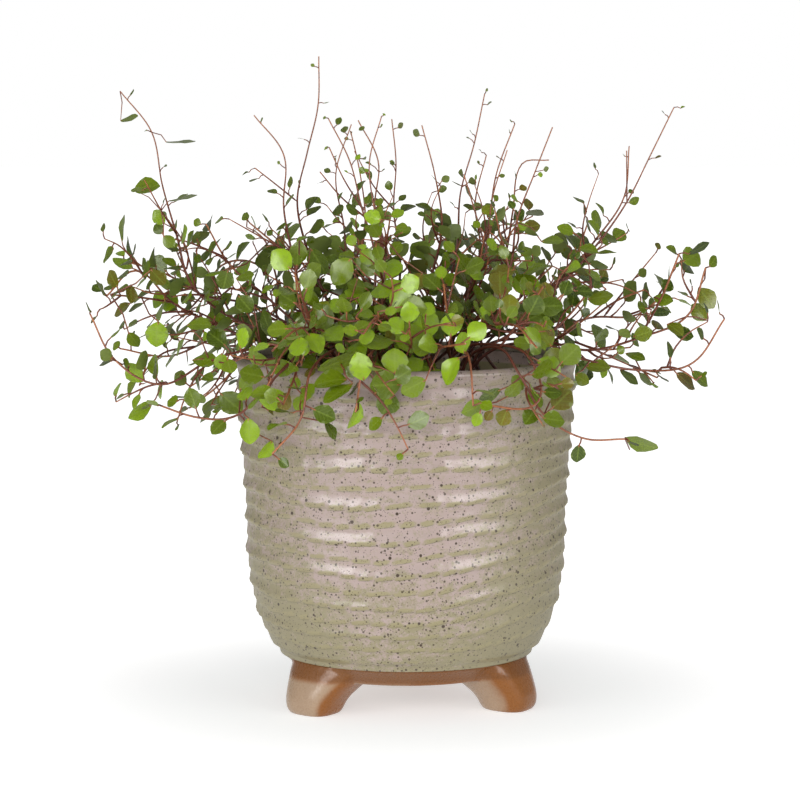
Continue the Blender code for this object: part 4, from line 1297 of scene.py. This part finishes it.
def clay_base(name, finish):
    """The bare base ring, its floor with the drain hole and the three feet, remeshed as one form."""
    rim = wall_radius(GLAZE_EDGE) - 0.7
    outline = [(DRAIN_RADIUS, BASE_HEIGHT), (DRAIN_RADIUS, BASE_HEIGHT + FLOOR_THICKNESS), (38, 18.5),
               (rim - 1.5, GLAZE_EDGE + 0.2), (rim, GLAZE_EDGE - 0.4)]
    for k in range(1, 6):
        height = GLAZE_EDGE - 0.4 + (BASE_HEIGHT + BASE_BEVEL - GLAZE_EDGE + 0.4) * k / 5
        outline.append((wall_radius(height) - 0.6, height))
    outline.append((BASE_RADIUS, BASE_HEIGHT))
    base = turned_mesh(name, outline, 96)
    shape = bmesh.new()
    shape.from_mesh(base)
    for turn, fold in zip(FOOT_TURNS, FOLD_TURNS):
        foot_mesh(shape, turn, fold)
    bmesh.ops.recalc_face_normals(shape, faces=shape.faces)
    shape.to_mesh(base)
    shape.free()
    source = linked(name + "_source", base)
    remesh = source.modifiers.new("One form", "REMESH")
    remesh.mode = "VOXEL"
    remesh.voxel_size = CLAY_VOXEL * MM
    remesh.use_smooth_shade = True
    soften = source.modifiers.new("Soften", "SMOOTH")
    soften.factor = 0.5
    soften.iterations = 8
    mesh = bpy.data.meshes.new_from_object(source.evaluated_get(bpy.context.evaluated_depsgraph_get()))
    bpy.data.objects.remove(source, do_unlink=True)
    mesh.name = name
    mesh.materials.clear()
    mesh.materials.append(finish)
    for vertex in mesh.vertices:
        vertex.co.z = max(vertex.co.z, 0.0)
    return linked(name, mesh)


class PotSettings(bpy.types.PropertyGroup):
    """What a user would change of the pot."""

    rib_depth: FloatProperty(name="Rib Depth", description="Depth of the ribs in millimetres", default=1.3)
    rib_pitch: FloatProperty(name="Rib Pitch", description="From rib to rib in millimetres",
                             default=(RIB_HIGHEST - RIB_LOWEST) / (RIB_COUNT - 1))
    mauve: FloatVectorProperty(name="Mauve", description="Glaze between the ribs", subtype="COLOR",
                               default=(0.36, 0.28, 0.256), min=0, max=1)
    olive: FloatVectorProperty(name="Olive", description="Mottled glaze at the sides and low down",
                               subtype="COLOR", default=(0.25, 0.22, 0.13), min=0, max=1)
    pad: FloatVectorProperty(name="Pads", description="Glaze on the pads along the ribs", subtype="COLOR",
                             default=(0.275, 0.24, 0.13), min=0, max=1)
    # Inside is a painted-light colour, far paler than the glaze outside, standing in for light on the shaded inner
    # wall.
    inner: FloatVectorProperty(name="Inside", description="Glaze deeper inside", subtype="COLOR",
                               default=(0.74, 0.54, 0.45), min=0, max=1)
    speck: FloatVectorProperty(name="Specks", description="Iron specks in the glaze", subtype="COLOR",
                               default=(0.055, 0.036, 0.024), min=0, max=1)
    # Orange Clay is the clay's colour on faces turned away from the left softbox; Tan Clay is painted light on faces
    # turned towards it.
    orange_clay: FloatVectorProperty(name="Orange Clay", description="The feet's deeper colour",
                                     subtype="COLOR", default=(0.225, 0.08, 0.015), min=0, max=1)
    lit_tan_clay: FloatVectorProperty(name="Tan Clay", description="The feet's lighter colour", subtype="COLOR",
                                  default=(0.34, 0.235, 0.155), min=0, max=1)


class WIREVINE_OT_pot(bpy.types.Operator):
    """Makes the ribbed, glazed wall and the clay base with its feet in place of the solid pot"""

    bl_idname = "wirevine.pot"
    bl_label = "Pot"

    def execute(self, context):
        sizes = context.scene.wire_vine_pot
        outline, outer = wall_outline()
        mesh = turned_mesh("wall_source", outline, WALL_TURNS)
        outside = [float(k < outer + 2) for k in range(len(outline))]
        mesh.attributes.new("outside", "FLOAT", "POINT").data.foreach_set("value", outside * WALL_TURNS)
        source = linked("wall_source", mesh)
        values = {"Rib Depth": sizes.rib_depth, "Rib Pitch": sizes.rib_pitch, "Glaze": glaze_material(sizes)}
        wall = finished(source, ribs_tree(), "glazed_wall", values)
        base = clay_base("clay_base", clay_material(sizes))
        for piece in (wall, base):
            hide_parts("pot")
            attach(piece, BODY)
            print(piece.name, len(piece.data.polygons), "faces")
        return {"FINISHED"}


# The soil


def soil_tree():
    """Crumbs of mix strewn over the soil's top."""
    start, end = new_tree("Soil crumbs", (
        ("Crumbs", "NodeSocketFloat", 300000.0),
        ("Crumb Size", "NodeSocketFloat", 1.1),
        ("Seed", "NodeSocketInt", 3),
        ("Soil", "NodeSocketMaterial", None),
    ))
    normal = start.node("GeometryNodeInputNormal")
    up = normal.parts()[2]
    spots = start.node("GeometryNodeDistributePointsOnFaces", None, {
        "Mesh": start, "Selection": up.maths("GREATER_THAN", up, 0.7), "Density": start.other("Crumbs"),
        "Seed": start.other("Seed")}, "Points")
    ball = start.node("GeometryNodeMeshIcoSphere", None, {"Radius": MM, "Subdivisions": 1}, "Mesh")
    size = start.node("FunctionNodeRandomValue", {"data_type": "FLOAT_VECTOR"},
                      {0: (0.35, 0.35, 0.25), 1: (1.3, 1.0, 0.8), "Seed": 5}, 0)
    grain = start.other("Crumb Size")
    grain = start.node("ShaderNodeCombineXYZ", None, {0: grain, 1: grain, 2: grain})
    turn = start.node("FunctionNodeRandomValue", {"data_type": "FLOAT_VECTOR"},
                      {0: (0.0, 0.0, 0.0), 1: (6.3, 6.3, 6.3), "Seed": 6}, 0)
    crumbs = start.node("GeometryNodeInstanceOnPoints", None, {
        "Points": spots, "Instance": ball, "Rotation": start.node("FunctionNodeEulerToRotation", None, {0: turn}),
        "Scale": size.vector("MULTIPLY", size, grain)})
    both = start.tree.nodes.new("GeometryNodeJoinGeometry")
    for part in (start, crumbs):
        start.tree.links.new(part.out, both.inputs[0])
    real = start.node("GeometryNodeRealizeInstances", None, {0: Sock(start.tree, both.outputs[0])})
    made = start.node("GeometryNodeSetMaterial", None, {"Geometry": real, "Material": start.other("Soil")})
    start.tree.links.new(made.out, end.inputs[0])
    return start


def soil_material(sizes):
    """Dark, moist peat with lighter fibre."""
    made, shader, place = material("potting_mix", 0.9)
    grain = place.noise(0.7, 4.0, 0.65)
    colour = grain.ease(0.35, 0.7).blend(rgba(sizes.dark), rgba(sizes.light))
    feed(shader, Base_Color=colour, Normal=bumped(place.noise(2.0, 3.0, 0.7), 0.0006))
    return made


class SoilSettings(bpy.types.PropertyGroup):
    """What a user would change of the soil."""

    crumbs: FloatProperty(name="Crumbs", description="Crumbs on each square metre", default=300000.0, min=0)
    crumb_size: FloatProperty(name="Crumb Size", description="Radius of a crumb in millimetres", default=1.1)
    seed: IntProperty(name="Seed", description="Fixes where the crumbs fall", default=3)
    dark: FloatVectorProperty(name="Dark", description="Peat", subtype="COLOR", default=(0.018, 0.011, 0.007),
                              min=0, max=1)
    light: FloatVectorProperty(name="Light", description="Fibre and bark", subtype="COLOR",
                               default=(0.07, 0.042, 0.024), min=0, max=1)


class WIREVINE_OT_soil(bpy.types.Operator):
    """Makes the crumbly soil in place of the solid one"""

    bl_idname = "wirevine.soil"
    bl_label = "Soil"

    def execute(self, context):
        sizes = context.scene.wire_vine_soil
        reach = SOIL_OUTLINE[1][0] - 0.5
        outline = [(0.4 + (reach - 0.4) * k / 30, SOIL_TOP) for k in range(31)] + list(SOIL_OUTLINE[2:])
        outline.append((0.4, SOIL_OUTLINE[-1][1]))
        mesh = turned_mesh("soil_source", outline, 90)
        for vertex in mesh.vertices:
            if vertex.co.z > (SOIL_TOP - 0.5) * MM:
                vertex.co.z = soil_height(vertex.co.x / MM, vertex.co.y / MM) * MM
        values = {"Crumbs": sizes.crumbs, "Crumb Size": sizes.crumb_size, "Seed": sizes.seed,
                  "Soil": soil_material(sizes)}
        soil = finished(linked("soil_source", mesh), soil_tree(), "potting_mix", values)
        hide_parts("soil")
        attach(soil, BODY)
        print(soil.name, len(soil.data.polygons), "faces")
        return {"FINISHED"}


# The studio


class StageSettings(bpy.types.PropertyGroup):
    """What a user would change of the studio."""

    distance: FloatProperty(name="Camera Distance", description="From the camera to the pot's axis",
                            default=1.211, unit="LENGTH")
    height: FloatProperty(name="Camera Height", description="The camera's height over the floor", default=0.244,
                          unit="LENGTH")
    pitch: FloatProperty(name="Pitch", description="How far the camera looks down", default=math.radians(6.08),
                         subtype="ANGLE")
    lens: FloatProperty(name="Lens", description="Focal length in millimetres", default=144.1, unit="CAMERA")
    key: FloatProperty(name="Key", description="Power of the left softbox in watts", default=4.0)
    glint: FloatProperty(name="Glint", description="Power of each lamp that only the gloss shows in watts",
                         default=6.5)
    fill: FloatProperty(name="Fill", description="Power of the right softbox in watts", default=3.4)
    front: FloatProperty(name="Front", description="Power of the large, dim panel at the front in watts",
                         default=9.5)
    room: FloatProperty(name="Room", description="Brightness of the room over the horizon", default=0.36)
    glow: FloatProperty(name="Floor Glow", description="Light that the floor gives off by itself", default=0.5)
    floor: FloatVectorProperty(name="Floor", description="Colour of the floor", subtype="COLOR",
                               default=(0.75, 0.75, 0.75), min=0, max=1)


def softbox(name, power, size, place, target, diffuse=True, glossy=True):
    """A rectangular lamp that faces a point, for the diffuse light, the gloss or both."""
    data = bpy.data.lights.new(name, "AREA")
    data.shape = "RECTANGLE"
    data.size, data.size_y = size
    data.energy = power
    lamp = linked(name, data)
    lamp.location = place
    lamp.visible_diffuse = diffuse
    lamp.visible_glossy = glossy
    lamp.rotation_euler = (Vector(target) - Vector(place)).to_track_quat("-Z", "Y").to_euler()
    return lamp


class WIREVINE_OT_stage(bpy.types.Operator):
    """Makes the pale, glowing floor with a painted shadow under the pot, the softboxes and the camera"""

    bl_idname = "wirevine.stage"
    bl_label = "Studio"

    def execute(self, context):
        scene = context.scene
        sizes = scene.wire_vine_stage
        half = 6.0
        mesh = bpy.data.meshes.new("studio_floor")
        mesh.from_pydata([(-half, -half, 0), (half, -half, 0), (half, half, 0), (-half, half, 0)], [], [(0, 1, 2, 3)])
        floor = linked("studio_floor", mesh)
        paper, shader, place = material("glowing_white_floor", 0.8, Emission_Strength=1.0)
        x, y, _ = place.parts()
        pale = y.ease(-520.0, -205.0) * (x.maths("ABSOLUTE", x) - 0.13 * y).ease(480.0, 210.0)
        # The floor glows: an emission, weaker near the pot and stronger farther out, paints light onto the pale part of
        # the floor.
        glow = (x * x + y * y).maths("SQRT", x * x + y * y).ease(60.0, 260.0)
        glow = pale * (sizes.glow + (1.0 - sizes.glow) * 0.75 * glow)
        # Painted shadow: within 50 to 150 mm of the pot's axis the floor is painted a darker grey-blue.
        under = (x * x + y * y).maths("SQRT", x * x + y * y).ease(150.0, 50.0)
        paint = pale.blend(rgba([0.5 * c for c in sizes.floor]), rgba(sizes.floor))
        paint = (under * 0.3).blend(paint, (0.42, 0.5, 0.54, 1.0))
        feed(shader, Base_Color=paint,
             Emission_Color=glow.node("ShaderNodeCombineColor", None, {0: glow, 1: glow, 2: glow}))
        mesh.materials.append(paper)
        world = bpy.data.worlds.new("studio")
        world.use_nodes = True
        sky = Sock(world.node_tree)
        _, ahead, height = sky.node("ShaderNodeTexCoord", None, None, "Generated").parts()
        backdrop = ahead.ease(0.93, 0.97) * height.ease(0.14, 0.06)
        backdrop = backdrop * sky.node("ShaderNodeLightPath", None, None, "Is Camera Ray")
        dome = backdrop.blend(rgba((sizes.room,) * 3), (1.0, 1.0, 1.0, 1.0))
        world.node_tree.links.new(dome.out, world.node_tree.nodes["Background"].inputs["Color"])
        scene.world = world
        softbox("key_softbox", sizes.key, (0.85, 0.42), (-0.84, -0.76, 0.4), (0, 0, 0.1))
        softbox("fill_softbox", sizes.fill, (0.85, 0.42), (0.86, -0.72, 0.4), (0, 0, 0.1))
        softbox("front_panel", sizes.front, (0.9, 0.5), (-0.1, -1.4, 0.4), (0, 0, 0.12), glossy=False)
        softbox("left_glint", sizes.glint, (0.85, 0.42), (-0.82, -0.76, 0.39), (0, 0, 0.1), diffuse=False)
        softbox("right_glint", sizes.glint, (0.95, 0.42), (0.84, -0.72, 0.39), (0, 0, 0.1), diffuse=False)
        scene.view_settings.view_transform = "Standard"
        eye = bpy.data.cameras.new("camera")
        eye.lens = sizes.lens
        eye.sensor_width = 36.0
        eye.shift_x = -0.0075
        eye.clip_start = 0.05
        camera = linked("camera", eye)
        camera.location = (0.0, -sizes.distance, sizes.height)
        camera.rotation_euler = (math.pi / 2 - sizes.pitch, 0.0, 0.0)
        scene.camera = camera
        return {"FINISHED"}


class VIEW3D_PT_wire_vine(bpy.types.Panel):
    """Lists the settings and the steps"""

    bl_label = "Potted Wire Vine"
    bl_space_type = "VIEW_3D"
    bl_region_type = "UI"
    bl_category = "Wire Vine"

    def draw(self, context):
        for holder, step in ((context.scene.wire_vine_pot, WIREVINE_OT_pot),
                             (context.scene.wire_vine_soil, WIREVINE_OT_soil),
                             (context.scene.wire_vine, WIREVINE_OT_foliage),
                             (context.scene.wire_vine_stage, WIREVINE_OT_stage)):
            box = self.layout.box()
            for key in holder.__annotations__:
                box.prop(holder, key)
            box.operator(step.bl_idname)


CLASSES = (PotSettings, SoilSettings, VineSettings, StageSettings, WIREVINE_OT_pot, WIREVINE_OT_soil,
           WIREVINE_OT_foliage, WIREVINE_OT_stage, VIEW3D_PT_wire_vine)
HOLDERS = {"wire_vine_pot": PotSettings, "wire_vine_soil": SoilSettings, "wire_vine": VineSettings,
           "wire_vine_stage": StageSettings}


def register():
    for made in CLASSES:
        bpy.utils.register_class(made)
    for name, group in HOLDERS.items():
        setattr(bpy.types.Scene, name, PointerProperty(type=group))


def unregister():
    for name in HOLDERS:
        delattr(bpy.types.Scene, name)
    for made in reversed(CLASSES):
        bpy.utils.unregister_class(made)


def main():
    register()
    bpy.ops.wirevine.pot()
    bpy.ops.wirevine.soil()
    bpy.ops.wirevine.foliage()
    bpy.ops.wirevine.stage()
    bpy.context.view_layer.update()


if __name__ == "__main__":
    main()
